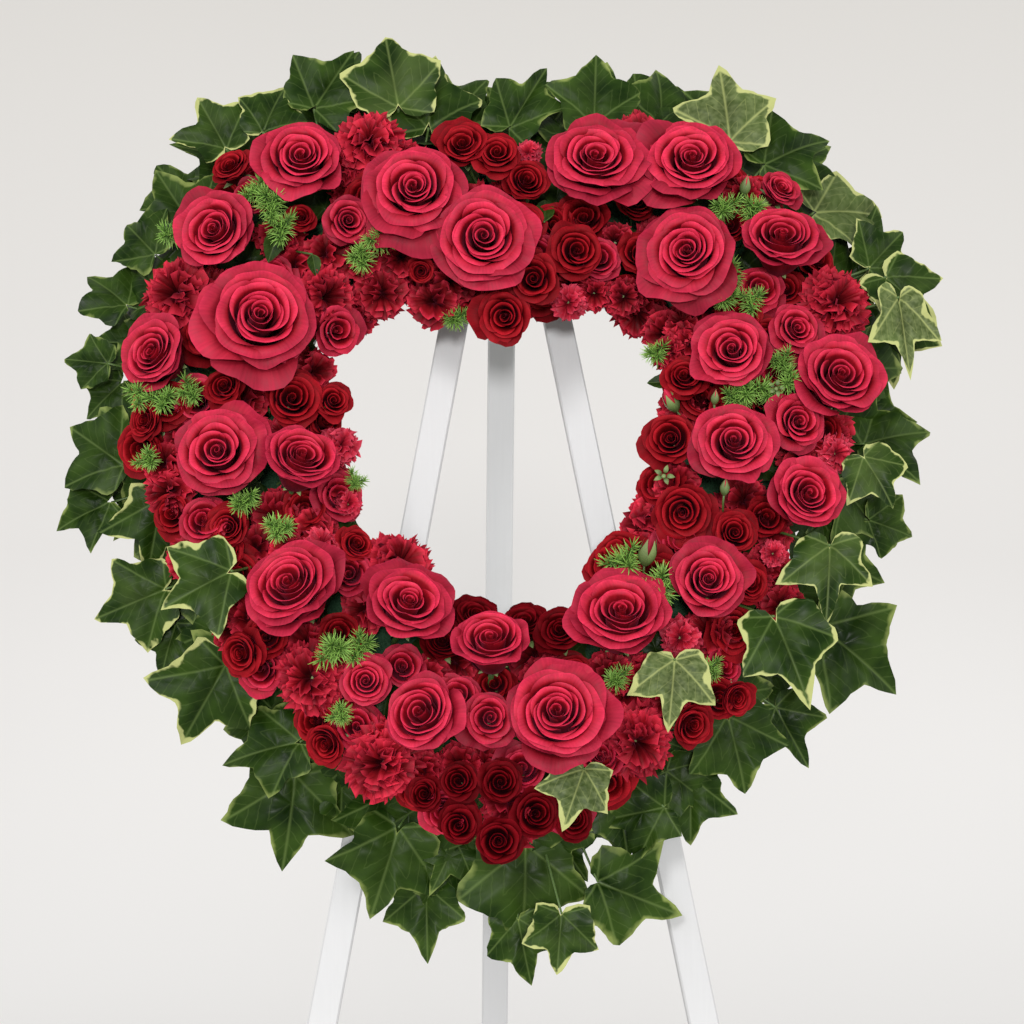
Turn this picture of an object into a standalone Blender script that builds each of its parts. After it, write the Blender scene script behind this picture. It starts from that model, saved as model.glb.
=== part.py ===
"""Standing funeral arrangement: an open heart of roses and carnations edged with ivy, hung on a folding easel.

The heart is built on a foam ring in a tray. The ring hangs by a wire on a hook and leans on the easel's two
front legs. The easel's rear leg folds on a butt hinge. The object stands on the floor at Z = 0 and faces -Y.
"""

import math

import bpy
from mathutils import Matrix, Vector

MM = 0.001

# Easel, in millimetres.
EASEL_TOP = 1372.0  # height of the front legs' top ends above the floor, a 54 inch easel
FRONT_LEAN = math.radians(14.0)  # the front legs and the heart lean back by this
REAR_LEAN = math.radians(14.0)  # the rear leg leans the other way by this
FOLD = FRONT_LEAN + REAR_LEAN
HEART_BELOW_TOP = 322.0  # from the front legs' top ends down to the heart's centre, along the legs' plane
HEART_Y = -90.0  # puts the middle of the feet over the origin
RING_X = -7.0  # the ring hangs a little left of the easel's middle
LEG_WIDTH = 21.0
LEG_THICK = 12.0
LEG_SPLAY = 0.1847  # each front leg runs out this far for each millimetre down
LEGS_MEET = 384.4  # height above the heart's centre where the front legs' centre lines would cross
EDGE_CHAMFER = 1.2
GAP = 0.3  # between pieces that touch

# The header board's bottom and top edges and the cross rail, up from the heart's centre.
HEADER_LOW, HEADER_HIGH = 252.0, 316.0
RAIL_CENTRE, RAIL_HALF_LENGTH = -150.0, 112.0

# Butt hinge between the header board and the rear leg.
HINGE_HEIGHT = 286.0
HINGE_HALF_WIDTH = 9.5
HINGE_LEAF_LENGTH = 28.0
HINGE_LEAF_THICK = 1.2
KNUCKLE_R = 3.0
MIDDLE_KNUCKLE = 3.1  # half length
OUTER_KNUCKLE_FROM = 3.4
PIN_R, PIN_BORE_R, PIN_HALF_LENGTH = 1.5, 1.58, 9.9
LEG_TOP_ABOVE_PIN = 24.0

SCREW_LENGTH, SCREW_R, SCREW_HEAD_R, SCREW_HEAD_HEIGHT = 21.0, 1.75, 3.6, 2.2
SCREW_HOLE_R = 2.1
HEADER_SCREW_HEIGHT = 276.0
HOOK_HEIGHT, HOOK_R, HOOK_HOLE_R = 288.0, 1.5, 1.9
HANGER_R, HANGER_HALF_WIDTH, HANGER_FOOT, HANGER_HOLE_R = 0.8, 10.0, 226.0, 1.2

# Foam ring and its tray: half-widths across the band, and heights above the legs' front faces.
TRAY_HALF, TRAY_WALL, TRAY_FLOOR, TRAY_LIP = 50.0, 3.0, 6.0, 16.0
FOAM_HALF, FOAM_TOP = TRAY_HALF - TRAY_WALL - GAP, 52.0
RING_STEPS = 46

# Flowers.
ROOT_SHARE = 0.6  # a stem enters the foam this share of the way from the band's middle line to the bloom
ROOT_HEIGHT = 50.0
STEM_IN_FOAM = 22.0
STEM_R, STEM_HOLE_R = 2.1, 2.5
SPRAY_STEM_R, SPRAY_BRANCH_R = 2.1, 1.4
HOLE_SIDES = 6

# Ivy.
VINE_OFFSET, VINE_HEIGHT, VINE_R, PETIOLE_R = 57.0, 28.0, 1.7, 1.1
VINE_HOLE_R = 2.2
LEAF_THICK = 1.2
LEAF_DROOP = math.radians(14.0)
LEAF_ROLL = math.radians(9.0)
LEAF_CENTRE_SHARE = 0.33  # a leaf's middle lies this share of its length from its base

# Large roses: across, up, diameter, height of the face, and how far the root is shifted across and up.
ROSES = (
    (-144, 257, 61, 112, 0, 0),
    (-203, 202, 57, 112, 0, 0),
    (-172, 135, 81, 124, 0, 0),
    (-245, 112, 54, 108, 0, 0),
    (-63, 233, 69, 118, 0, 0),
    (-14, 195, 70, 122, 0, 0),
    (67, 256, 72, 116, 0, 0),
    (137, 256, 70, 114, 0, 0),
    (132, 186, 68, 120, 0, 0),
    (200, 195, 58, 112, 0, -8),
    (162, 113, 55, 116, 0, 0),
    (238, 95, 62, 110, 0, 0),
    (161, 45, 59, 118, 0, 0),
    (211, 8, 52, 112, 0, 0),
    (-200, 38, 63, 118, 0, 0),
    (-143, 31, 54, 116, 0, -8),
    (-147, -59, 68, 118, 6, -8),
    (-68, -71, 62, 118, 0, 0),
    (-57, -148, 55, 114, 13, 0),
    (-11, -99, 52, 116, 4, -8),
    (34, -148, 72, 122, 0, 0),
    (79, -80, 67, 120, 0, -8),
    (140, -53, 55, 114, 0, 0),
)

# Carnations: across, up, diameter, height of the face.
CARNATIONS = (
    (-95, 285, 58, 100),
    (-239, 166, 60, 100),
    (-121, 160, 54, 98),
    (101, 292, 48, 94),
    (249, 160, 58, 100),
    (-68, -28, 54, 92),
    (-140, -120, 55, 102),
    (-90, -182, 60, 102),
    (95, -166, 58, 102),
)

# Sprays of small roses: where the stem enters the foam, and each head's across, up, diameter and face height.
ROSE_SPRAYS = {
    "rose_spray_top": ((0, 230), ((-27, 273, 37, 98), (-3, 266, 32, 100), (18, 246, 34, 98))),
    "rose_spray_cleft": ((30, 204), ((53, 193, 38, 98), (22, 171, 35, 102), (2, 146, 35, 94))),
    "rose_spray_bottom": (
        (-8, -186),
        (
            (-56, -198, 24, 92),
            (-33, -190, 27, 98),
            (-5, -192, 30, 102),
            (-33, -219, 27, 90),
            (-6, -230, 32, 92),
            (19, -212, 33, 94),
            (45, -215, 27, 86),
        ),
    ),
    "rose_spray_right": ((153, 64), ((130, 99, 32, 96), (119, 53, 38, 98), (126, 1, 40, 96))),
    "rose_spray_left": ((-168, 84), ((-197, 91, 29, 98), (-150, 82, 40, 98), (-121, 82, 25, 94))),
}

# Ivy vines: where each starts and ends along the ring, then its leaves: the middle's across, up and height,
# the length from base to tip, and the tip's heading in degrees clockwise from straight up.
IVY_VINES = {
    "ivy_vine_top_left": (
        (0.84, 0.965),
        (
            (-207, 311, 34, 46, -33),
            (-162, 318, 26, 46, -18),
            (-118, 348, 40, 56, 22),
            (-82, 349, 30, 60, -3),
            (-38, 333, 42, 58, -13),
        ),
    ),
    "ivy_vine_top_right": (
        (0.02, 0.16),
        (
            (24, 324, 30, 60, 29),
            (79, 338, 40, 50, 0),
            (121, 336, 28, 50, 48),
            (174, 324, 40, 58, 18),
            (230, 291, 30, 50, 50),
        ),
    ),
    "ivy_vine_right": (
        (0.19, 0.335),
        (
            (255, 246, 46, 62, 82),
            (283, 222, 30, 42, 70),
            (291, 192, 40, 46, 118),
            (291, 154, 26, 62, 172),
            (284, 72, 40, 56, 72),
            (281, 8, 30, 40, 105),
        ),
    ),
    "ivy_vine_lower_right": (
        (0.36, 0.475),
        (
            (249, -83, 34, 72, 125),
            (205, -140, 24, 48, 150),
            (165, -154, 42, 58, 165),
            (134, -193, 28, 52, 180),
            (96, -204, 44, 52, -100),
            (86, -259, 30, 64, 110),
        ),
    ),
    "ivy_vine_bottom": (
        (0.50, 0.575),
        (
            (38, -290, 46, 44, 185),
            (13, -290, 22, 46, 170),
            (15, -250, 36, 72, 180),
            (-54, -268, 20, 50, 180),
            (-81, -236, 42, 70, -163),
            (-42, -242, 30, 48, 120),
        ),
    ),
    "ivy_vine_lower_left": (
        (0.60, 0.69),
        (
            (-150, -198, 30, 70, -173),
            (-163, -157, 44, 58, -100),
            (-207, -119, 56, 64, -150),
            (-238, -77, 26, 42, -160),
            (-258, -48, 38, 54, -110),
        ),
    ),
    "ivy_vine_left": (
        (0.71, 0.815),
        (
            (-247, 3, 56, 56, -170),
            (-296, 21, 24, 44, -110),
            (-288, 62, 40, 56, -52),
            (-286, 108, 26, 42, -130),
            (-297, 128, 42, 34, -80),
            (-284, 184, 30, 46, -45),
            (-262, 220, 44, 46, -40),
            (-234, 264, 28, 52, -40),
        ),
    ),
}

# One half of an ivy leaf's outline for a length of 1, from the notch at the stalk round to the tip.
LEAF_HALF_OUTLINE = (
    (0.15, -0.13),
    (0.34, -0.14),
    (0.44, 0.0),
    (0.37, 0.12),
    (0.58, 0.33),
    (0.47, 0.41),
    (0.27, 0.46),
    (0.19, 0.7),
)

# Turned outlines from the base of the calyx up to the face, as radius and height for a diameter of 1.
ROSE_HEAD = ((0.14, 0.05), (0.33, 0.28), (0.42, 0.48), (0.41, 0.57), (0.3, 0.62))
CARNATION_HEAD = ((0.11, 0.04), (0.13, 0.3), (0.38, 0.52), (0.4, 0.6), (0.28, 0.7))
BLOOM_SIDES, SPRAY_SIDES = 9, 7


# ---------------------------------------------------------------------------------------------- scene and materials


def clear_scene():
    for obj in list(bpy.data.objects):
        bpy.data.objects.remove(obj, do_unlink=True)


def make_material(name, colour, roughness, metallic=0.0):
    material = bpy.data.materials.new(name)
    material.use_nodes = True
    shader = material.node_tree.nodes["Principled BSDF"]
    shader.inputs["Base Color"].default_value = (*colour, 1.0)
    shader.inputs["Roughness"].default_value = roughness
    shader.inputs["Metallic"].default_value = metallic
    return material


def make_empty(name, location, tip):
    """An empty whose X is the object's X, turned so that its Y leans back by tip from straight up."""
    empty = bpy.data.objects.new(name, None)
    empty.location = Vector(location) * MM
    empty.rotation_euler = (math.radians(90.0) - tip, 0.0, 0.0)
    bpy.context.scene.collection.objects.link(empty)
    return empty


def make_object(name, points, faces, material, parent, smooth_angle=None):
    """A mesh object from points in millimetres."""
    mesh = bpy.data.meshes.new(name)
    mesh.from_pydata([Vector(p) * MM for p in points], [], faces)
    mesh.validate()
    mesh.materials.append(material)
    if smooth_angle:
        mesh.shade_smooth()
        mesh.set_sharp_from_angle(angle=math.radians(smooth_angle))
    obj = bpy.data.objects.new(name, mesh)
    obj.parent = parent
    bpy.context.scene.collection.objects.link(obj)
    return obj


def boolean(obj, operation, name, points, faces, material, parent):
    """Cuts a mesh from obj, or joins it to obj. The other mesh stays as a hidden helper."""
    helper = make_object(f"{obj.name}_{name}", points, faces, material, parent)
    helper.hide_render = True
    helper.display_type = "WIRE"
    modifier = obj.modifiers.new(name, "BOOLEAN")
    modifier.operation = operation
    modifier.object = helper
    modifier.solver = "EXACT"
    modifier.use_self = operation == "UNION"
    return modifier


# -------------------------------------------------------------------------------------------------- mesh generators


def merged(shapes):
    """Several (points, faces) as one."""
    points, faces = [], []
    for shape_points, shape_faces in shapes:
        first = len(points)
        points += shape_points
        faces += [[first + i for i in face] for face in shape_faces]
    return points, faces


def placed(shape, matrix):
    points, faces = shape
    return [matrix @ Vector(p) for p in points], faces


def prism(low, high):
    """A closed solid between two outlines of as many points, both anticlockwise seen from high."""
    n = len(low)
    faces = [list(range(n))[::-1], list(range(n, 2 * n))]
    faces += [[i, (i + 1) % n, n + (i + 1) % n, n + i] for i in range(n)]
    return [Vector(p) for p in (*low, *high)], faces


def plate(outline, back, front):
    """An outline in the XY plane, anticlockwise, made solid from height back to height front."""
    return prism([(x, y, back) for x, y in outline], [(x, y, front) for x, y in outline])


def turned(profile, sides):
    """A profile of (radius, height) from the bottom up, turned about Z and closed flat at both ends."""
    points = [
        Vector((r * math.cos(a), r * math.sin(a), z))
        for r, z in profile
        for a in (2.0 * math.pi * k / sides for k in range(sides))
    ]
    faces = [list(range(sides))[::-1], list(range(len(points) - sides, len(points)))]
    for ring in range(len(profile) - 1):
        for k in range(sides):
            a, b = ring * sides + k, ring * sides + (k + 1) % sides
            faces.append([a, b, b + sides, a + sides])
    return points, faces


def along_x(shape):
    return placed(shape, Matrix.Rotation(math.radians(90.0), 4, "Y"))


def tube(path, radius, sides):
    """A round tube along a path of points, closed at its ends."""
    path = [Vector(p) for p in path]
    points = []
    side = None
    for i, centre in enumerate(path):
        ahead = (path[min(i + 1, len(path) - 1)] - path[max(i - 1, 0)]).normalized()
        if side is None:
            side = ahead.orthogonal().normalized()
        side = (side - ahead * side.dot(ahead)).normalized()
        other = ahead.cross(side)
        for k in range(sides):
            a = 2.0 * math.pi * k / sides
            points.append(centre + radius * (math.cos(a) * side + math.sin(a) * other))
    faces = [list(range(sides))[::-1], list(range(len(points) - sides, len(points)))]
    for ring in range(len(path) - 1):
        for k in range(sides):
            a, b = ring * sides + k, ring * sides + (k + 1) % sides
            faces.append([a, b, b + sides, a + sides])
    return points, faces


# ------------------------------------------------------------------------------------------------- the heart's line


def bezier(p0, p1, p2, p3, t):
    s = 1.0 - t
    return tuple(
        s**3 * a + 3 * s * s * t * b + 3 * s * t * t * c + t**3 * d for a, b, c, d in zip(p0, p1, p2, p3)
    )


# The right half of the band's middle line: from the cleft over the lobe and down the side to the point.
HALF_HEART = (
    ((0, 232), (40, 232), (66, 246), (105, 246)),
    ((105, 246), (152, 246), (193, 187), (193, 107)),
    ((193, 107), (193, 22), (80, -150), (0, -150)),
)
HALF_SHARES = (0.0, 0.11, 0.25, 0.5)  # where those stretches start and end on the way round


def heart_middle(share):
    """The middle line at a share of the way round, clockwise from the cleft: 0.5 is the bottom point."""
    share %= 1.0
    mirrored = share > 0.5
    along = 1.0 - share if mirrored else share
    stretch = max(i for i in range(3) if HALF_SHARES[i] <= along)
    start, end = HALF_SHARES[stretch], HALF_SHARES[stretch + 1]
    x, y = bezier(*HALF_HEART[stretch], (along - start) / (end - start))
    return Vector((-x if mirrored else x, y))


def heart_point(share, offset, height=0.0):
    """A point beside the middle line, offset outwards."""
    step = 0.002
    run = heart_middle(share + step) - heart_middle(share - step)
    outwards = Vector((-run.y, run.x)).normalized()
    x, y = heart_middle(share) + offset * outwards
    return Vector((x, y, height))


MIDDLE_LINE = [heart_middle(i / 400.0) for i in range(400)]


def nearest_middle(x, y):
    return min(MIDDLE_LINE, key=lambda p: (p.x - x) ** 2 + (p.y - y) ** 2)


def ring_solid(section):
    """Sweeps a section of (offset, height) points round the heart."""
    points = [heart_point(i / RING_STEPS, offset, height) for i in range(RING_STEPS) for offset, height in section]
    n = len(section)
    faces = []
    for i in range(RING_STEPS):
        here, there = i * n, (i + 1) % RING_STEPS * n
        for k in range(n):
            m = (k + 1) % n
            faces.append([here + k, here + m, there + m, there + k])
    return points, faces


# ------------------------------------------------------------------------------------------------------- the easel


def leg_line(side, y):
    return side * LEG_SPLAY * (LEGS_MEET - y)


def front_leg(side, name, material, parent, heart_height):
    """A flat slat in the heart's frame, level with the floor at its foot."""
    half = LEG_WIDTH / 2.0 * math.hypot(1.0, LEG_SPLAY)
    low, high = [], []
    for dx, z in ((-half, 0.0), (-half, -LEG_THICK), (half, -LEG_THICK), (half, 0.0)):
        foot = -(heart_height + z * math.sin(FRONT_LEAN)) / math.cos(FRONT_LEAN)
        low.append((leg_line(side, foot) + dx, foot, z))
        high.append((leg_line(side, HEART_BELOW_TOP) + dx, HEART_BELOW_TOP, z))
    leg = make_object(name, *prism(low, high), material, parent)
    soften(leg)
    return leg


def soften(obj, width=EDGE_CHAMFER):
    bevel = obj.modifiers.new("edges", "BEVEL")
    bevel.width = width * MM
    bevel.segments = 1
    bevel.limit_method = "ANGLE"


def screw_points(height):
    """Where the screws go in: one through the header and one through the rail into each front leg."""
    return {
        f"screw_{where}_{label}": (leg_line(side, y), y, height)
        for where, y in (("header", HEADER_SCREW_HEIGHT), ("rail", RAIL_CENTRE))
        for label, side in (("left", -1), ("right", 1))
    }


def make_screws(back_face, material, parent):
    """Pan-head wood screws driven from behind, as objects with their heads on back_face."""
    profile = (
        (0.5, -SCREW_LENGTH),
        (SCREW_R, 4.0 - SCREW_LENGTH),
        (SCREW_R, -GAP),
        (SCREW_HEAD_R, -GAP),
        (SCREW_HEAD_R, 0.5 * SCREW_HEAD_HEIGHT),
        (0.6 * SCREW_HEAD_R, SCREW_HEAD_HEIGHT),
    )
    for name, (x, y, z) in screw_points(back_face - 2 * GAP).items():
        screw = make_object(name, *turned(profile, 8), material, parent, smooth_angle=40)
        screw.location = Vector((x, y, z)) * MM
        screw.rotation_euler = (math.pi, 0.0, 0.0)


def screw_holes(which, back_face):
    """Cutters for the screws whose name holds which."""
    shapes = []
    for name, (x, y, z) in screw_points(back_face - 6.0).items():
        if which in name:
            hole = turned(((SCREW_HOLE_R, 0.0), (SCREW_HOLE_R, SCREW_LENGTH + 6.5)), 10)
            shapes.append(placed(hole, Matrix.Translation((x, y, z))))
    return merged(shapes)


def hinge_leaf(name, tab, knuckles, inner, outer, material, parent):
    """A leaf below the pin, which lies on the parent's X axis at height 0. tab is the outline's top edge."""
    low = -HINGE_LEAF_LENGTH
    outline = [(-HINGE_HALF_WIDTH, low), (HINGE_HALF_WIDTH, low), *tab]
    leaf = make_object(name, *plate(outline, inner, outer), material, parent, smooth_angle=40)
    for k, (start, end) in enumerate(knuckles):
        roll = along_x(turned(((KNUCKLE_R, start), (KNUCKLE_R, end)), 16))
        boolean(leaf, "UNION", f"knuckle_{k + 1}", *roll, material, parent)
    past = 2.0 * HINGE_HALF_WIDTH
    bore = along_x(turned(((PIN_BORE_R, -past), (PIN_BORE_R, past)), 16))
    boolean(leaf, "DIFFERENCE", "bore", *bore, material, parent)


def make_hinge(front_frame, rear_frame, material):
    """Both leaves and the pin. Folded, the leaves lie face to face with the knuckle at the top."""
    w, m, o = HINGE_HALF_WIDTH, MIDDLE_KNUCKLE, OUTER_KNUCKLE_FROM
    notch = -KNUCKLE_R - 2 * GAP
    face, inside = KNUCKLE_R, KNUCKLE_R - HINGE_LEAF_THICK
    outer_tabs = [(w, 0.0), (o, 0.0), (o, notch), (-o, notch), (-o, 0.0), (-w, 0.0)]
    middle_tab = [(w, notch), (m, notch), (m, 0.0), (-m, 0.0), (-m, notch), (-w, notch)]
    hinge_leaf("hinge_leaf_header", outer_tabs, ((-w, -o), (o, w)), inside, face, material, front_frame)
    hinge_leaf("hinge_leaf_leg", middle_tab, ((-m, m),), -face, -inside, material, rear_frame)
    tip, end = 0.8 * PIN_R, PIN_HALF_LENGTH
    pin = turned(((tip, -end), (PIN_R, -w), (PIN_R, w), (tip, end)), 16)
    make_object("hinge_pin", *along_x(pin), material, front_frame, smooth_angle=40)


def make_rear_leg(pin_height, material, parent):
    """The rear leg in the hinge's frame. Its bevelled top bears on the header board when it stands open."""
    front = -KNUCKLE_R - GAP
    back = front - LEG_THICK
    reach = KNUCKLE_R  # the header's back face is this far in front of the pin, less the gap

    def bearing(z):
        return (reach - z * math.cos(FOLD)) / math.sin(FOLD)

    bevel_back = (reach - LEG_TOP_ABOVE_PIN * math.sin(FOLD)) / math.cos(FOLD)

    def foot(z):
        return -(pin_height - z * math.sin(REAR_LEAN)) / math.cos(REAR_LEAN)

    side = [
        (foot(front), front),
        (foot(back), back),
        (LEG_TOP_ABOVE_PIN, back),
        (LEG_TOP_ABOVE_PIN, bevel_back),
        (bearing(front), front),
    ]
    half = LEG_WIDTH / 2.0
    left = [(-half, y, z) for y, z in side]
    right = [(half, y, z) for y, z in side]
    leg = make_object("leg_rear", *prism(left, right), material, parent)
    soften(leg)


def make_easel(heart_frame, front_hinge, rear_hinge, heart_height, pin_height, wood, steel):
    header_back = -2 * LEG_THICK - GAP
    left = front_leg(-1, "leg_front_left", wood, heart_frame, heart_height)
    right = front_leg(1, "leg_front_right", wood, heart_frame, heart_height)
    half_low = leg_line(1, HEADER_LOW) + LEG_WIDTH / 2.0
    half_high = leg_line(1, HEADER_HIGH) + LEG_WIDTH / 2.0
    outline = ((-half_low, HEADER_LOW), (half_low, HEADER_LOW), (half_high, HEADER_HIGH), (-half_high, HEADER_HIGH))
    header_front = -LEG_THICK - GAP
    header = make_object("header_board", *plate(outline, header_back, header_front), wood, heart_frame)
    low, high = RAIL_CENTRE - LEG_WIDTH / 2.0, RAIL_CENTRE + LEG_WIDTH / 2.0
    end = RAIL_HALF_LENGTH
    outline = ((-end, low), (end, low), (end, high), (-end, high))
    rail = make_object("cross_rail", *plate(outline, header_back, header_front), wood, heart_frame)
    for obj, which in ((left, "left"), (right, "right"), (header, "header"), (rail, "rail")):
        if obj in (header, rail):
            soften(obj)
        boolean(obj, "DIFFERENCE", "screw_holes", *screw_holes(which, header_back), wood, heart_frame)
    hook_hole = turned(((HOOK_HOLE_R, header_back + 2.0), (HOOK_HOLE_R, 0.0)), 8)
    hook_hole = placed(hook_hole, Matrix.Translation((0.0, HOOK_HEIGHT, 0.0)))
    boolean(header, "DIFFERENCE", "hook_hole", *hook_hole, wood, heart_frame)
    make_screws(header_back, steel, heart_frame)
    make_rear_leg(pin_height, wood, rear_hinge)
    make_hinge(front_hinge, rear_hinge, steel)


def make_hook_and_hanger(steel, wire, parent):
    """The hook in the header board, and the wire on the tray's back that hangs on it."""
    y = HOOK_HEIGHT
    hook = ((0, y, -20), (0, y, -9), (0, y, -6), (0, y + 0.9, -3.6), (0, y + 3.2, -2.2), (0, y + 9, -1.8))
    make_object("hanging_hook", *tube(hook, HOOK_R, 8), steel, parent, smooth_angle=40)
    rest = y + HOOK_R + HANGER_R + GAP
    right_side = (
        (1.7, rest - 0.5, -7.2),
        (2.9, rest - 2.3, -7.2),
        (4.4, 272, -6.4),
        (HANGER_HALF_WIDTH - 1.2, 234, -3.0),
        (HANGER_HALF_WIDTH, 228, -1.8),
        (HANGER_HALF_WIDTH, HANGER_FOOT, -0.4),
        (HANGER_HALF_WIDTH, HANGER_FOOT, 3.6),
    )
    path = [(-x, v, z) for x, v, z in right_side[::-1]] + [(0, rest, -7.2)] + list(right_side)
    make_object("hanger_wire", *tube(path, HANGER_R, 6), wire, parent, smooth_angle=40)


# --------------------------------------------------------------------------------------------- the ring and flowers


def make_tray(material, parent):
    inner = TRAY_HALF - TRAY_WALL
    bottom, floor = GAP, GAP + TRAY_FLOOR
    section = (
        (-TRAY_HALF, bottom),
        (TRAY_HALF, bottom),
        (TRAY_HALF, TRAY_LIP),
        (inner, TRAY_LIP),
        (inner, floor),
        (-inner, floor),
        (-inner, TRAY_LIP),
        (-TRAY_HALF, TRAY_LIP),
    )
    tray = make_object("heart_tray", *ring_solid(section), material, parent)
    holes = []
    for side in (-1, 1):
        hole = turned(((HANGER_HOLE_R, -3.0), (HANGER_HOLE_R, 4.6)), 8)
        holes.append(placed(hole, Matrix.Translation((side * HANGER_HALF_WIDTH - RING_X, HANGER_FOOT, 0.0))))
    boolean(tray, "DIFFERENCE", "hanger_holes", *merged(holes), material, parent)


def make_foam(stems, vine_ends, material, parent):
    """The foam ring, with a hole for each stem and for each vine's end."""
    bottom = 2 * GAP + TRAY_FLOOR
    section = (
        (-FOAM_HALF, bottom),
        (FOAM_HALF, bottom),
        (FOAM_HALF, FOAM_TOP - 20.0),
        (FOAM_HALF - 9.0, FOAM_TOP - 6.0),
        (FOAM_HALF - 26.0, FOAM_TOP),
        (26.0 - FOAM_HALF, FOAM_TOP),
        (9.0 - FOAM_HALF, FOAM_TOP - 6.0),
        (-FOAM_HALF, FOAM_TOP - 20.0),
    )
    foam = make_object("heart_foam", *ring_solid(section), material, parent)
    holes = [tube((tip, top), STEM_HOLE_R, HOLE_SIDES) for tip, top in stems]
    holes += [tube((tip, top), VINE_HOLE_R, HOLE_SIDES) for tip, top in vine_ends]
    boolean(foam, "DIFFERENCE", "stem_holes", *merged(holes), material, parent)


def stem_axis(x, y, height, shift_x=0.0, shift_y=0.0):
    """The face's middle, where the stem enters the foam, and the direction from there to the face."""
    middle = nearest_middle(x, y)
    root = Vector(
        (
            middle.x + ROOT_SHARE * (x - middle.x) + shift_x,
            middle.y + ROOT_SHARE * (y - middle.y) + shift_y,
            ROOT_HEIGHT,
        )
    )
    face = Vector((x, y, height))
    return face, root, (face - root).normalized()


def make_bloom(name, outline, diameter, axis, material, parent):
    """One bloom and its stem as a turned solid. Returns the stem's hole in the foam as (bottom, top)."""
    face, root, direction = axis
    height = outline[-1][1] * diameter
    base = face - height * direction
    stem = (base - root).dot(direction) + STEM_IN_FOAM
    profile = [(STEM_R * 0.5, -stem), (STEM_R, 3.0 - stem), (STEM_R, 0.0)]
    profile += [(r * diameter, z * diameter) for r, z in outline]
    bloom = make_object(name, *turned(profile, BLOOM_SIDES), material, parent, smooth_angle=40)
    bloom.location = base * MM
    bloom.rotation_mode = "QUATERNION"
    bloom.rotation_quaternion = Vector((0, 0, 1)).rotation_difference(direction)
    return root - (STEM_IN_FOAM + 1.0) * direction, root + 12.0 * direction


def make_spray(name, root_at, heads, material, parent):
    """Small rose heads on branches of one stem."""
    root = Vector((*root_at, ROOT_HEIGHT))
    fork = root + Vector((0, 0, 9))
    spray = make_object(
        name, *tube((root - Vector((0, 0, STEM_IN_FOAM)), fork), SPRAY_STEM_R, 6), material, parent, smooth_angle=40
    )
    parts = []
    for x, y, diameter, height in heads:
        face = Vector((x, y, height))
        flat = Vector((x - root.x, y - root.y, 0.0))
        direction = (Vector((0, 0, 1)) + 0.006 * flat).normalized()
        base = face - ROSE_HEAD[-1][1] * diameter * direction
        turn = Vector((0, 0, 1)).rotation_difference(direction).to_matrix().to_4x4()
        profile = [(SPRAY_BRANCH_R, -2.0)] + [(r * diameter, z * diameter) for r, z in ROSE_HEAD]
        head = placed(turned(profile, SPRAY_SIDES), Matrix.Translation(base) @ turn)
        bend = base - max(4.0, 0.3 * (base.z - fork.z)) * direction
        branch = tube((root + Vector((0, 0, 4)), bend, base + 2.0 * direction), SPRAY_BRANCH_R, 4)
        parts += [head, branch]
    boolean(spray, "UNION", "branches", *merged(parts), material, parent)
    return root - Vector((0, 0, STEM_IN_FOAM + 1.0)), root + Vector((0, 0, 12))


def leaf_outline(length):
    """Anticlockwise, with the notch at the origin and the tip at +Y."""
    right = [(x * length, y * length) for x, y in LEAF_HALF_OUTLINE]
    left = [(-x, y) for x, y in right[::-1]]
    return [(0.0, 0.0), *right, (0.0, length), *left]


def make_vine(name, span, leaves, material, parent):
    """A vine that runs outside the tray with its leaves on stalks. Returns its hole in the foam's side."""
    start, end = span
    steps = max(3, round((end - start) * 70))
    run = [start + (end - start) * i / steps for i in range(steps + 1)]
    entry = heart_point(start, FOAM_HALF - 8.0, VINE_HEIGHT - 2.0)
    mouth = heart_point(start, FOAM_HALF + 2.0, VINE_HEIGHT - 1.0)
    path = [entry, mouth] + [heart_point(share, VINE_OFFSET, VINE_HEIGHT) for share in run[1:]]
    vine = make_object(name, *tube(path, VINE_R, 5), material, parent, smooth_angle=40)
    nodes = [heart_point(run[1] + (end - run[1]) * i / 20, VINE_OFFSET, VINE_HEIGHT) for i in range(21)]
    parts = []
    for k, (x, y, height, length, heading) in enumerate(leaves):
        angle = math.radians(heading)
        forward = Vector((math.sin(angle), math.cos(angle), 0.0))
        base = Vector((x, y, height)) - LEAF_CENTRE_SHARE * length * forward
        roll = LEAF_ROLL if k % 2 else -LEAF_ROLL
        frame = (
            Matrix.Translation(base)
            @ Matrix.Rotation(-angle, 4, "Z")
            @ Matrix.Rotation(-LEAF_DROOP, 4, "X")
            @ Matrix.Rotation(roll, 4, "Y")
        )
        parts.append(placed(plate(leaf_outline(length), -LEAF_THICK, 0.0), frame))
        hold = frame @ Vector((0.0, 0.06 * length, -LEAF_THICK * 0.5))
        node = min(nodes, key=lambda p: (p - hold).length)
        parts.append(tube((node, hold), PETIOLE_R, 4))
    boolean(vine, "UNION", "leaves", *merged(parts), material, parent)
    return entry + (entry - mouth).normalized(), heart_point(start, FOAM_HALF + 6.0, VINE_HEIGHT - 0.6)


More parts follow.
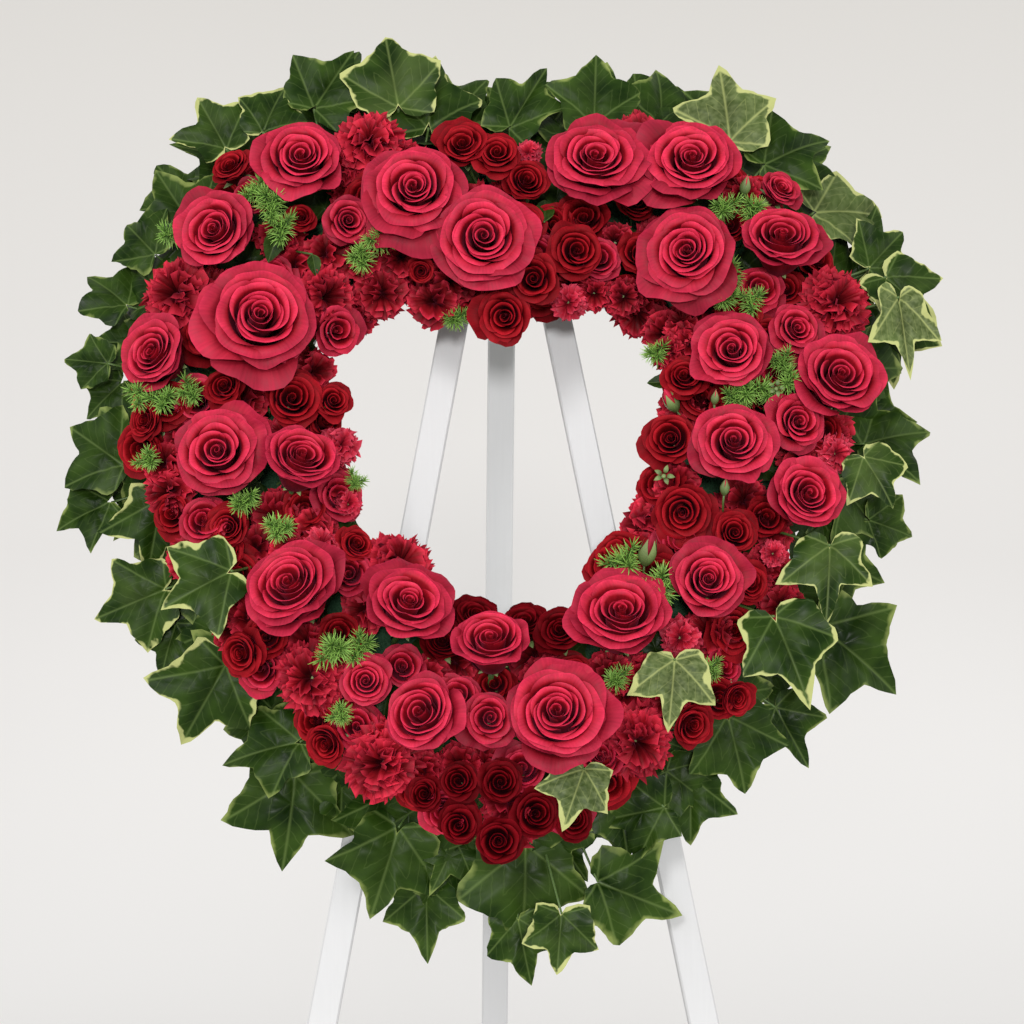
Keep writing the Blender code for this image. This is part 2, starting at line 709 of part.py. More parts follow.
def make_flowers(parent):
    rose_red = make_material("rose_petal", (0.45, 0.012, 0.03), 0.6)
    carnation_red = make_material("carnation_petal", (0.5, 0.01, 0.025), 0.7)
    spray_red = make_material("spray_rose_petal", (0.33, 0.008, 0.015), 0.6)
    stems = []
    for k, (x, y, diameter, height, shift_x, shift_y) in enumerate(ROSES):
        axis = stem_axis(x, y, height, shift_x, shift_y)
        stems.append(make_bloom(f"rose_{k + 1:02d}", ROSE_HEAD, diameter, axis, rose_red, parent))
    for k, (x, y, diameter, height) in enumerate(CARNATIONS):
        axis = stem_axis(x, y, height)
        name = f"carnation_{k + 1}"
        stems.append(make_bloom(name, CARNATION_HEAD, diameter, axis, carnation_red, parent))
    for name, (root_at, heads) in ROSE_SPRAYS.items():
        stems.append(make_spray(name, root_at, heads, spray_red, parent))
    return stems


def main():
    clear_scene()
    wood = make_material("white_painted_wood", (0.8, 0.8, 0.79), 0.45)
    steel = make_material("zinc_plated_steel", (0.55, 0.55, 0.54), 0.35, metallic=1.0)
    wire = make_material("green_florist_wire", (0.03, 0.09, 0.04), 0.45)
    tray_green = make_material("tray_plastic", (0.02, 0.06, 0.025), 0.5)
    foam_green = make_material("floral_foam", (0.03, 0.11, 0.06), 0.95)
    leaf_green = make_material("ivy_leaf", (0.03, 0.1, 0.03), 0.4)

    heart_height = EASEL_TOP - HEART_BELOW_TOP * math.cos(FRONT_LEAN)
    heart_frame = make_empty("heart_frame", (0.0, HEART_Y, heart_height), FRONT_LEAN)
    pin_depth = -2 * LEG_THICK - GAP - KNUCKLE_R - GAP
    up = Vector((0.0, math.sin(FRONT_LEAN), math.cos(FRONT_LEAN)))
    forward = Vector((0.0, -math.cos(FRONT_LEAN), math.sin(FRONT_LEAN)))
    pin = Vector((0.0, HEART_Y, heart_height)) + HINGE_HEIGHT * up + pin_depth * forward
    ring_frame = make_empty("ring_frame", (RING_X, HEART_Y, heart_height), FRONT_LEAN)
    front_hinge = make_empty("hinge_frame", pin, FRONT_LEAN)
    rear_hinge = make_empty("rear_leg_hinge", pin, -REAR_LEAN)

    make_easel(heart_frame, front_hinge, rear_hinge, heart_height, pin.z, wood, steel)
    make_hook_and_hanger(steel, wire, heart_frame)
    make_tray(tray_green, ring_frame)
    stems = make_flowers(ring_frame)
    vine_ends = [make_vine(name, *vine, leaf_green, ring_frame) for name, vine in IVY_VINES.items()]
    make_foam(stems, vine_ends, foam_green, ring_frame)


main()
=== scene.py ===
"""The looks of a standing funeral heart on a folding easel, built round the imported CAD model.

Flowers and leaves stand where the CAD's solids stand. The places of the small extra flowers are millimetres
across, up and out from the heart's middle, in the plane of the easel's front legs.
"""

import math

import bpy
import numpy as np
from mathutils import Matrix, Vector


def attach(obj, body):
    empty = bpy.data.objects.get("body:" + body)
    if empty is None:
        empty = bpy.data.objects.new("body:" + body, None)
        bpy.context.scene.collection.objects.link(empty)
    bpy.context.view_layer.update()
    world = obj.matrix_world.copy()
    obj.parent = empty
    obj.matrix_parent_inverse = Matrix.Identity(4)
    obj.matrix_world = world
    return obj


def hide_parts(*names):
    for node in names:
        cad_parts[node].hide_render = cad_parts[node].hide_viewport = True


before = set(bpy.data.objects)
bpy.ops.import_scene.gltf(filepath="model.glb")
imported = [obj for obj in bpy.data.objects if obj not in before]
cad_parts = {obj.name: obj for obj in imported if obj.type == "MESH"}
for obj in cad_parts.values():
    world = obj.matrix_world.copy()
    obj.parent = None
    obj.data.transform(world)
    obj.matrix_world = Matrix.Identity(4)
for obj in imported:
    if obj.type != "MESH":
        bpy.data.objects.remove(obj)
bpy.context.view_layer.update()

MM = 0.001
GOLDEN_TURN = math.pi * (3.0 - math.sqrt(5.0))
BODY = "stand"


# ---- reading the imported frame


def node_points(name):
    return np.array([v.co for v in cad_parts[name].data.vertices], float)


SAME_PLANE = 0.3 * MM  # facets of one direction and this near each other make one flat face


def flat_faces(name):
    """The flat faces of a CAD node, as (centre, normal, area, corners), the largest first."""
    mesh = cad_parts[name].data
    groups = {}
    for polygon in mesh.polygons:
        if polygon.area <= 0.0:
            continue
        offset = polygon.normal.dot(polygon.center)
        key = (*(round(c * 100) for c in polygon.normal), round(offset / SAME_PLANE))
        groups.setdefault(key, []).append(polygon)
    faces = []
    for polygons in groups.values():
        area = sum(p.area for p in polygons)
        centre = sum((p.center * p.area for p in polygons), Vector()) / area
        normal = sum((p.normal * p.area for p in polygons), Vector()).normalized()
        corners = [mesh.vertices[i].co for p in polygons for i in p.vertices]
        faces.append((centre, normal, area, corners))
    return sorted(faces, key=lambda face: -face[2])


TRAY_LOWEST = 200.0 * MM  # the tray's lowest edge is this far below the heart's middle

# The heart's frame: across to the right, up along the front legs, and out from their front faces.
ACROSS = Vector((1.0, 0.0, 0.0))
leg_face = next(face for face in flat_faces("leg_front_left") if face[1].y < -0.9)
OUT = leg_face[1]
UP = OUT.cross(ACROSS)
tray = node_points("heart_tray")
tray_low = float((tray @ np.array(UP)).min())
tray_across = float(tray[:, 0].min() + tray[:, 0].max()) / 2.0
MIDDLE = tray_across * ACROSS + (tray_low + TRAY_LOWEST) * UP + leg_face[0].dot(OUT) * OUT


def heart_vector(across, up, out):
    return ACROSS * float(across) + UP * float(up) + OUT * float(out)


def place(across, up, out):
    """A point in the heart's frame, from millimetres."""
    return MIDDLE + heart_vector(across, up, out) * MM


def heart_coordinates(point):
    """Millimetres across, up and out of a world point."""
    away = (point - MIDDLE) / MM
    return away.dot(ACROSS), away.dot(UP), away.dot(OUT)


def heart_direction(across, up, out):
    return heart_vector(across, up, out).normalized()


def nodes_named(start):
    return sorted(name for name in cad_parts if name.startswith(start))


# ---- material nodes


class Wire:
    """A value in a material's nodes. Arithmetic on it makes Math nodes."""

    def __init__(self, graph, socket):
        self.graph, self.socket = graph, socket

    def __add__(self, other):
        return self.graph.math("ADD", self, other)

    def __sub__(self, other):
        return self.graph.math("SUBTRACT", self, other)

    def __rsub__(self, other):
        return self.graph.math("SUBTRACT", other, self)

    def __mul__(self, other):
        return self.graph.math("MULTIPLY", self, other)

    def __truediv__(self, other):
        return self.graph.math("DIVIDE", self, other)

    def to(self, low, high, start=0.3, end=0.7):
        """Low at the start and below, high at the end and above. Most noise lies between 0.3 and 0.7."""
        return self.graph.node("MapRange", dict(enumerate((self, start, end, low, high))))


class Graph:
    """A short way to write a material's nodes."""

    def __init__(self, name):
        self.material = bpy.data.materials.new(name)
        self.material.use_nodes = True
        self.tree = self.material.node_tree

    def feed(self, socket, value):
        if isinstance(value, Wire):
            self.tree.links.new(value.socket, socket)
        elif socket.type == "RGBA" and len(value) == 3:
            socket.default_value = (*value, 1.0)
        else:
            socket.default_value = value

    def node(self, kind, inputs, output=0, **settings):
        node = self.tree.nodes.new("ShaderNode" + kind)
        for name, value in settings.items():
            setattr(node, name, value)
        for key, value in inputs.items():
            self.feed(node.inputs[key], value)
        return Wire(self, node.outputs[output])

    def math(self, operation, first, second=0.0, clamp=False):
        return self.node("Math", {0: first, 1: second}, operation=operation, use_clamp=clamp)

    def mix(self, share, first, second):
        return self.node("Mix", {0: share, 6: first, 7: second}, 2, data_type="RGBA")

    def ramp(self, value, *stops):
        wire = self.node("ValToRGB", {0: value})
        elements = wire.socket.node.color_ramp.elements
        while len(elements) < len(stops):
            elements.new(0.5)
        for element, (position, colour) in zip(elements, stops):
            element.position = position
            element.color = (*colour, 1.0)
        return wire

    def noise(self, vector, scale, detail=3.0, roughness=0.5):
        inputs = {"Vector": vector, "Scale": scale, "Detail": detail, "Roughness": roughness}
        return self.node("TexNoise", inputs)

    def stretched(self, vector, scale):
        return self.node("Mapping", {"Vector": vector, "Scale": scale})

    def uv(self):
        return self.node("UVMap", {}, uv_map="UVMap")

    def object_place(self):
        return self.node("TexCoord", {}, "Object")

    def split(self, vector):
        node = self.node("SeparateXYZ", {0: vector}).socket.node
        return [Wire(self, socket) for socket in node.outputs]

    def attribute(self, name):
        return self.node("Attribute", {}, "Fac", attribute_name=name)

    def brightness(self, colour, value):
        return self.node("HueSaturation", {"Color": colour, "Value": value})

    def bump(self, height, strength, distance):
        return self.node("Bump", {"Height": height, "Strength": strength, "Distance": distance})

    def finish(self, **values):
        """Feeds the shader's inputs, and returns the material."""
        shader = self.tree.nodes["Principled BSDF"]
        for name, value in values.items():
            self.feed(shader.inputs[name.replace("_", " ")], value)
        return self.material


def petal_material(name, deep, middle, rim, vein, stops, gloss):
    """A velvety petal with fine veins along it. Its base is painted darker as painted shade, and its rim
    lighter as a painted highlight.
    """
    g = Graph(name)
    uv = g.uv()
    along = g.split(uv)[1]
    veins = g.noise(g.stretched(uv, (46.0, 2.5, 1.0)), 1.0, 1.5)
    mottle = g.noise(g.stretched(uv, (3.0, 2.0, 1.0)), 2.0, 1.0)
    value = veins.to(1.0 - vein, 1.0 + vein) + mottle.to(-0.16, 0.16)
    value = value * g.attribute("tint").to(0.5, 1.22, 0.0, 1.0)
    # the ramp along the petal paints shade at its base and a highlight at its rim
    return g.finish(
        Base_Color=g.brightness(g.ramp(along, *zip(stops, (deep, middle, rim))), value),
        Roughness=veins.to(0.46, 0.6),
        Normal=g.bump(veins, 0.18, 0.0004),
        Specular_IOR_Level=gloss,
        Sheen_Weight=gloss,
        Sheen_Roughness=0.4,
        Sheen_Tint=(1.0, 0.12, 0.25, 1.0),
    )


UV_BASE, UV_LENGTH = 0.2, 0.6  # along a lobed leaf's texture, the place of its base and its length
LEAF_VEINS = (0.0, 50.0, 108.0)  # degrees from the tip at which a leaf's main veins leave its base
VARIEGATED = 0.3  # from this tint up, a leaf has a cream margin
SAGE_DARK, SAGE_LIGHT = (0.075, 0.105, 0.03), (0.18, 0.22, 0.085)  # the middle of the palest leaves
CREAM = (0.5, 0.53, 0.2)


def leaf_material(name, dark, light, vein_colour, rim_colour):
    """A lobed leaf. The higher its tint, the wider its cream margin, and the palest have a sage middle."""
    g = Graph(name)
    uv = g.uv()
    x, y, _ = g.split(uv)
    x = g.math("ABSOLUTE", (x - 0.5) * 2.0)
    y = (y - UV_BASE) / UV_LENGTH
    reach = g.math("SQRT", x * x + y * y)
    heading = g.math("ARCTAN2", x, y)
    aside = 1.0  # how far a point is from the nearest main vein
    for vein in LEAF_VEINS:
        turn = g.math("SINE", heading - math.radians(vein))
        aside = g.math("MINIMUM", aside, g.math("ABSOLUTE", turn) * reach)
    tint = g.attribute("tint")
    at = g.node("VectorMath", {0: uv, 1: tint * 40.0}, operation="ADD")
    blotch = g.noise(at, 5.0)
    fine = g.noise(at, 24.0, 1.5)
    slant = reach - aside * 1.2 + fine * 0.05
    rib = g.math("ABSOLUTE", g.math("SINE", slant * 22.0))
    ribs = g.math("SUBTRACT", 1.0, rib * 4.0, clamp=True)
    main = g.math("SUBTRACT", 1.0, aside / 0.022, clamp=True)
    net = g.math("MAXIMUM", main, ribs * 0.35)
    green = g.mix(blotch.to(0.0, 1.0, 0.35, 0.65), dark, light)
    sage = g.mix(fine.to(0.0, 1.0, 0.35, 0.65), SAGE_DARK, SAGE_LIGHT)
    green = g.mix(tint.to(0.0, 0.8, 0.85, 1.0), green, sage)
    patches = g.noise(at, 2.6, 1.0).to(0.0, 1.0, 0.52, 0.7)
    green = g.mix(patches * tint.to(0.25, 1.0, 0.3, 0.8), green, g.mix(0.3, green, vein_colour))
    vein_look = g.mix(tint.to(0.0, 0.7, 0.8, 1.0), vein_colour, CREAM)
    green = g.mix(net * tint.to(0.5, 0.8, 0.8, 1.0), green, vein_look)
    rim = g.attribute("rim")
    edge = rim + (blotch - 0.5) * 0.8
    margin = g.math("DIVIDE", edge - (0.985 - tint * 0.08), 0.05, clamp=True)
    green = g.brightness(green, rim.to(0.78, 1.15, 0.1, 1.0))
    thin = g.math("MULTIPLY", edge - 0.955, 8.0, clamp=True)
    colour = g.mix(thin, green, rim_colour)
    return g.finish(
        Base_Color=g.mix(margin * g.math("GREATER_THAN", tint, VARIEGATED), colour, CREAM),
        Roughness=blotch.to(0.31, 0.48),
        Normal=g.bump(net * -1.0, 0.2, 0.0008),
        Specular_IOR_Level=0.12,
    )


def tapering_green(name, base, tip, roughness=0.5):
    """For needles, stems and sepals: one green at the base, another at the tip."""
    g = Graph(name)
    uv = g.uv()
    fleck = g.noise(g.stretched(uv, (8.0, 20.0, 1.0)), 1.0, 1.5)
    colour = g.ramp(g.split(uv)[1], (0.0, base), (1.0, tip))
    value = fleck.to(0.85, 1.15) * g.attribute("tint").to(0.8, 1.2, 0.0, 1.0)
    bumps = g.bump(fleck, 0.15, 0.0003)
    return g.finish(Base_Color=g.brightness(colour, value), Roughness=roughness, Normal=bumps)


def painted_wood():
    """White satin paint on a planed slat. The grain shows through it, and it is dirty in places. Its colour
    is also painted lighter higher up and greyer lower down, as painted light and shade.
    """
    g = Graph("white_paint")
    at = g.object_place()
    grain = g.noise(g.stretched(at, (420.0, 60.0, 14.0)), 1.0, 4.0, 0.6)
    brush = g.noise(g.stretched(at, (900.0, 300.0, 8.0)), 1.0, 2.0)
    dirt = g.noise(at, 9.0, 5.0, 0.6)
    colour = g.mix(grain.to(0.0, 0.3, 0.35, 0.7), (0.85, 0.85, 0.855), (0.79, 0.79, 0.795))
    colour = g.mix(dirt.to(0.0, 0.3, 0.6, 0.8), colour, (0.7, 0.69, 0.66))
    painted_light_by_height = g.split(at)[2].to(0.76, 1.08, 0.75, 1.2)  # painted light and shade: lighter higher up, where the flowers shade the legs, greyer lower down
    return g.finish(
        Base_Color=g.brightness(colour, painted_light_by_height),
        Roughness=brush.to(0.36, 0.5),
        Normal=g.bump(grain * 0.7 + brush * 0.3, 0.25, 0.0004),
    )


def zinc_steel():
    g = Graph("zinc_plate")
    at = g.object_place()
    spangle = g.noise(at, 260.0, 2.0)
    scratch = g.noise(g.stretched(at, (2400.0, 200.0, 200.0)), 1.0, 2.0)
    return g.finish(
        Base_Color=g.ramp(spangle, (0.3, (0.42, 0.43, 0.44)), (0.7, (0.62, 0.63, 0.63))),
        Metallic=1.0,
        Roughness=scratch.to(0.26, 0.42),
        Normal=g.bump(scratch, 0.1, 0.0001),
    )


def green_enamel():
    g = Graph("green_wire")
    wear = g.noise(g.object_place(), 300.0)
    colour = g.ramp(wear, (0.35, (0.02, 0.075, 0.03)), (0.75, (0.05, 0.13, 0.06)))
    return g.finish(Base_Color=colour, Roughness=wear.to(0.3, 0.5))


def tray_plastic():
    """Moulded dark green plastic with a fine grain and water marks."""
    g = Graph("tray_plastic_moulded")
    at = g.object_place()
    marks = g.noise(at, 22.0, 4.0, 0.65)
    return g.finish(
        Base_Color=g.mix(marks.to(0.0, 0.6, 0.45, 0.7), (0.014, 0.045, 0.02), (0.04, 0.085, 0.045)),
        Roughness=marks.to(0.38, 0.6),
        Normal=g.bump(g.noise(at, 1500.0, 2.0), 0.3, 0.0002),
    )


def wet_foam():
    """Soaked floral foam: dark green with fine pores and crumbling edges."""
    g = Graph("soaked_foam")
    at = g.object_place()
    pores = g.noise(at, 700.0, 4.0, 0.7)
    pits = g.noise(at, 90.0, 3.0, 0.6)
    colour = g.mix(pores.to(0.0, 1.0, 0.35, 0.65), (0.012, 0.04, 0.018), (0.035, 0.09, 0.045))
    bumps = g.bump(pores + pits * 2.0, 0.6, 0.001)
    return g.finish(Base_Color=colour, Roughness=0.9, Normal=bumps, Specular_IOR_Level=0.2)


def pale_floor():
    """Nearly white underfoot, and greyer with height: painted shade, the wall darker higher up."""
    g = Graph("pale_floor")
    at = g.object_place()
    height = g.split(at)[2].to(0.0, 0.9, 0.0, 3.0) + g.noise(at, 0.6, 1.0) * 0.1
    # painted shade: the colour darkens with height up the wall
    stops = (0.0, (0.97, 0.96, 0.95)), (0.35, (0.71, 0.695, 0.68)), (1.0, (0.54, 0.525, 0.5))
    return g.finish(Base_Color=g.ramp(height, *stops), Roughness=0.85)


# Petals: the colours at the base (painted shade), in the middle and at the rim (painted highlight), how
# strong the veins are, where along the petal those colours lie, and how glossy it is.
ROSE_STOPS, FRILL_STOPS = (0.25, 0.64, 1.0), (0.45, 0.82, 1.0)
PETALS = (
    ("rose", (0.09, 0.001, 0.002), (0.33, 0.006, 0.015), (0.73, 0.03, 0.085), 0.12, ROSE_STOPS, 0.15),
    ("dark_rose", (0.04, 0.001, 0.001), (0.18, 0.003, 0.005), (0.42, 0.009, 0.018), 0.12, ROSE_STOPS, 0.06),
    ("deep_rose", (0.02, 0.0005, 0.001), (0.075, 0.001, 0.002), (0.2, 0.003, 0.008), 0.12, ROSE_STOPS, 0.03),
    ("carnation", (0.06, 0.001, 0.002), (0.26, 0.005, 0.011), (0.7, 0.028, 0.062), 0.1, FRILL_STOPS, 0.12),
    ("mini_carnation", (0.28, 0.006, 0.016), (0.62, 0.02, 0.05), (0.84, 0.065, 0.125), 0.08, FRILL_STOPS,
     0.2),
)
PETAL_MATERIALS = [petal_material(name + "_petals", *look) for name, *look in PETALS]
ROSE, DARK_ROSE, DEEP_ROSE, CARNATION, PINK = PETAL_MATERIALS
# Leaves: the two greens, the veins and the thin rim.
IVY_GREENS = ((0.008, 0.024, 0.002), (0.032, 0.068, 0.007), (0.15, 0.22, 0.06), (0.24, 0.3, 0.08))
DARK_GREENS = ((0.007, 0.018, 0.002), (0.022, 0.045, 0.005), (0.05, 0.08, 0.02), (0.04, 0.07, 0.015))
IVY, GREENERY = leaf_material("ivy_leaves", *IVY_GREENS), leaf_material("filler_leaves", *DARK_GREENS)
STEM = tapering_green("stems", (0.05, 0.1, 0.02), (0.1, 0.17, 0.04), 0.45)
SEPAL = tapering_green("sepals", (0.07, 0.13, 0.03), (0.26, 0.34, 0.12))
FERN = tapering_green("fern_needles", (0.03, 0.12, 0.008), (0.44, 0.76, 0.15))


# ---- mesh building

GREEN_SLOT, STEM_SLOT = 1, 2  # a flower's materials are its petals, then its green parts, then its stem
THICK_STEM = 2.1 * MM  # the radius of a large flower's stem


def smooth_step(low, high, x):
    t = np.clip((x - low) / (high - low), 0.0, 1.0)
    return t * t * (3.0 - 2.0 * t)


def frame_matrix(origin, forward, facing):
    """A matrix whose Z is facing and whose Y leans towards forward."""
    z = facing.normalized()
    x = forward.cross(z).normalized()
    y = z.cross(x)
    matrix = Matrix((x, y, z)).transposed().to_4x4()
    matrix.translation = origin
    return matrix


def any_matrix(origin, facing):
    return frame_matrix(origin, UP if abs(facing.dot(UP)) < 0.95 else ACROSS, facing)


def petal_grid(columns, rows):
    """Across from -1 to 1, and along from 0 to 1, for each point of a grid."""
    return np.meshgrid(np.linspace(-1.0, 1.0, columns), np.linspace(0.0, 1.0, rows))


def round_z(radii, turns, heights):
    return np.stack([radii * np.cos(turns), radii * np.sin(turns), heights], axis=-1)


def turned(x, y, z, angle):
    """Points turned round Z."""
    c, s = math.cos(angle), math.sin(angle)
    return np.stack([x * c - y * s, x * s + y * c, z], axis=-1)


def moved(points, matrix):
    m = np.array(matrix)
    return points @ m[:3, :3].T + m[:3, 3]


class Sheets:
    """Gathers grids of points into one mesh. Each point has a UV, a tint, and how near the rim it is."""

    def __init__(self):
        self.points, self.faces, self.uvs = [], [], []
        self.tints, self.rims, self.slots = [], [], []
        self.count = 0

    def add(self, points, u, v, tint, rim=None, close=False, slot=0):
        """A grid of rows by columns. close joins its last column to its first."""
        rows, columns = points.shape[:2]
        index = np.arange(rows * columns).reshape(rows, columns) + self.count
        right = np.roll(index, -1, axis=1) if close else index[:, 1:]
        left = index if close else index[:, :-1]
        quads = np.stack([left[:-1], right[:-1], right[1:], left[1:]], axis=-1).reshape(-1, 4)
        self.points.append(points.reshape(-1, 3))
        self.faces.append(quads)
        self.uvs.append(np.stack([u, v], axis=-1).reshape(-1, 2))
        self.tints.append(np.full(rows * columns, tint))
        self.rims.append(np.array(v if rim is None else rim, float).reshape(-1))
        self.slots.append(np.full(len(quads), slot))
        self.count += rows * columns

    def move(self, matrix, first=0):
        """Moves the grids from number first on."""
        for k in range(first, len(self.points)):
            self.points[k] = moved(self.points[k], matrix)

    def build(self, name, materials):
        """Makes the mesh object."""
        faces = np.concatenate(self.faces)
        mesh = bpy.data.meshes.new(name)
        mesh.from_pydata(np.concatenate(self.points).tolist(), [], faces.tolist())
        for material in materials:
            mesh.materials.append(material)
        mesh.polygons.foreach_set("material_index", np.concatenate(self.slots).astype(np.int32))
        layer = mesh.uv_layers.new(name="UVMap")
        layer.data.foreach_set("uv", np.concatenate(self.uvs)[faces.reshape(-1)].astype(np.float32).ravel())
        for label, values in (("tint", self.tints), ("rim", self.rims)):
            attribute = mesh.attributes.new(label, "FLOAT", "POINT")
            attribute.data.foreach_set("value", np.concatenate(values).astype(np.float32))
        mesh.shade_smooth()
        obj = bpy.data.objects.new(name, mesh)
        bpy.context.scene.collection.objects.link(obj)
        return obj

    def piece(self, name, materials, slot, replaces=()):
        """Makes the mesh object, and has it ride on the stand."""
        obj = self.build(name, materials)
        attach(obj, BODY)
        if replaces:
            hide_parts(*replaces)


def add_tube(sheets, path, radii, tint, slot=0, sides=6):
    """A round stem along a path of points, its ends drawn together."""
    path = [Vector(p) for p in path]
    radii = np.broadcast_to(radii, len(path))
    rings = []
    side = None
    for i, centre in enumerate(path):
        ahead = (path[min(i + 1, len(path) - 1)] - path[max(i - 1, 0)]).normalized()
        side = ahead.orthogonal() if side is None else side - ahead * side.dot(ahead)
        side.normalize()
        other = ahead.cross(side)
        turns = np.linspace(0.0, 2.0 * math.pi, sides, endpoint=False)
        ring = np.outer(np.cos(turns), side) + np.outer(np.sin(turns), other)
        rings.append(np.array(centre) + radii[i] * ring)
    rings = [rings[0] * 0.0 + np.array(path[0]), *rings, rings[-1] * 0.0 + np.array(path[-1])]
    v, u = np.meshgrid(np.linspace(0, 1, len(rings)), np.linspace(0, 1, sides), indexing="ij")
    sheets.add(np.array(rings), u, v, tint, close=True, slot=slot)


def add_curve(sheets, start, bend, end, radii, tint, slot, steps=6):
    """A thin stem that leaves its start towards bend and reaches its end from there."""
    ts = [i / steps for i in range(steps + 1)]
    path = [start * (1 - t) ** 2 + bend * (2 * t * (1 - t)) + end * t * t for t in ts]
    add_tube(sheets, path, radii, tint, slot, 5)


# ---- roses

WALL_SHARE = 0.5  # a petal's wall takes this share of its length, its rolled lip the rest
ROSE_TOP = 0.47  # height of a rose's highest rim for a diameter of 1

# A rose's layers from the cup outwards. Each is: its share of the petals, then pairs of first and last
# petal for the wall's radius and height, half the angle it spans, the lip's length and the angle through
# which the lip rolls, then how far the petals flare, how loosely they sit, their tint (painted shade: lower
# for the outer layers, so that they are darker than the cup), and the points across the first and last, and
# along.
ROSE_LAYERS = (
    (0.5, (0.02, 0.225), (0.5, 0.465), (150, 76), (0.022, 0.09), (35, 92), 0.0, 0.05, 0.95, (13, 21), 7),
    (0.18, (0.24, 0.275), (0.465, 0.44), (88, 80), (0.11, 0.14), (100, 125), 0.45, 0.035, 0.66, (23, 23), 13),
    (0.16, (0.28, 0.3), (0.41, 0.37), (80, 74), (0.16, 0.2), (92, 115), 0.85, 0.03, 0.42, (19, 19), 12),
    (0.14, (0.29, 0.31), (0.34, 0.29), (76, 70), (0.2, 0.24), (80, 105), 1.0, 0.03, 0.24, (17, 17), 12),
)
PROFILE_STEPS = 50  # in a petal's wall, and again in its lip


def rose_petal(sheets, rng, diameter, shape, across, along, tint):
    """One petal: a wall that rises from the base to its crest, then a lip that rolls outwards."""
    radius, height, half, azimuth, lip, curl, flare, spiral, shift = shape
    s, t = petal_grid(across, along)
    t = t**0.85
    w = np.linspace(0.0, 1.0, PROFILE_STEPS)
    wall_r = radius * (0.16 + 0.84 * w ** (0.42 + 0.5 * flare))
    wall_z = height * w ** (1.0 + 0.6 * flare)
    turns = math.atan2(wall_r[-1] - wall_r[-2], wall_z[-1] - wall_z[-2]) + curl * w
    step = lip / (PROFILE_STEPS - 1)
    profile_r = np.concatenate([wall_r, wall_r[-1] + np.cumsum(np.sin(turns)) * step])
    profile_z = np.concatenate([wall_z, wall_z[-1] + np.cumsum(np.cos(turns)) * step])
    profile_t = np.concatenate([w * WALL_SHARE, WALL_SHARE + (1 - WALL_SHARE) * (w + 0.02) / 1.02])
    skew = rng.uniform(-0.25, 0.25)
    point = rng.uniform(0.0, 0.12) * flare
    outline = 0.42 + 0.58 * (1.0 - np.abs(s + skew * (1 - s * s)) ** 3.4 * 0.98) ** 0.5
    outline = outline - point + point * np.exp(-(((s - skew) / 0.3) ** 2))
    reach = t * outline
    r = np.interp(reach, profile_t, profile_r)
    z = np.interp(reach, profile_t, profile_z)
    lipped = smooth_step(WALL_SHARE - 0.1, 1.0, reach)
    phase = rng.uniform(0, 2 * math.pi, 4)
    wave = 0.55 * np.sin(1.9 * math.pi * s + phase[0]) + 0.25 * np.sin(3.7 * math.pi * s + phase[1])
    ripple = 0.6 * np.sin(2.3 * math.pi * s + phase[2]) + 0.25 * np.sin(4.9 * math.pi * s + phase[3])
    r = r * (1.0 + spiral * s) + 0.13 * lip * wave * lipped
    r = r + 0.06 * radius * flare * lipped * (1 - np.abs(s) ** 1.4)
    z = z + (0.14 + 0.1 * flare) * lip * ripple * lipped - 0.3 * lip * flare * lipped * np.abs(s) ** 2.2
    a = azimuth + s * half * (1 - 0.1 * lipped * flare)
    points = np.stack([r * np.cos(a) + shift[0] * t, r * np.sin(a) + shift[1] * t, z], axis=-1) * diameter
    sheets.add(points, (s + 1) / 2, reach, tint)


def between(pair, f, power=1.0):
    return pair[0] + (pair[1] - pair[0]) * f**power


def rose_head(sheets, rng, diameter, petals, bud, detail=1.0):
    """A rose head that faces +Z from its base at the origin. bud from 0 to 1 closes it."""
    spin, heavy = rng.uniform(0, 2 * math.pi, 2)  # heavy is the side on which the outer petals are longest
    number = 0
    for layer, row in enumerate(ROSE_LAYERS):
        share, radii, heights, halves, lips, curls, flare, loose, tint, across, along = row
        count = max(2, round(share * petals))
        flare *= 1.0 - 0.6 * bud
        for k in range(count):
            f = k / (count - 1)
            radius = between(radii, f) * (1.0 - 0.3 * bud * min(layer, 2) / 2)
            height = between(heights, f, 0.6) + 0.7 * bud * (ROSE_TOP - between(heights, f))
            height += rng.uniform(-0.008, 0.008)
            half = math.radians(between(halves, f, 0.7) + rng.uniform(-6, 6))
            lip = between(lips, f) * (1.0 - 0.7 * bud) * rng.uniform(0.85, 1.15)
            curl = math.radians(between(curls, f) + rng.uniform(-15, 15)) * (1.0 - 0.5 * bud)
            azimuth = spin + number * GOLDEN_TURN + rng.uniform(-0.2, 0.2)
            lip *= 1.0 + 0.12 * layer * math.cos(azimuth - heavy)
            spiral = rng.uniform(0.08, 0.2) if layer == 0 else rng.uniform(0.0, 0.06)
            play = loose * min(1.0, radius / 0.1)
            shift = rng.uniform(-play, play, 2) * 0.5
            columns, rows = round(between(across, f) * detail), round(along * detail)
            shape = (radius, height, half, azimuth, lip, curl, flare, spiral, shift)
            rose_petal(sheets, rng, diameter, shape, columns, rows, tint + rng.uniform(-0.2, 0.2))
            number += 1


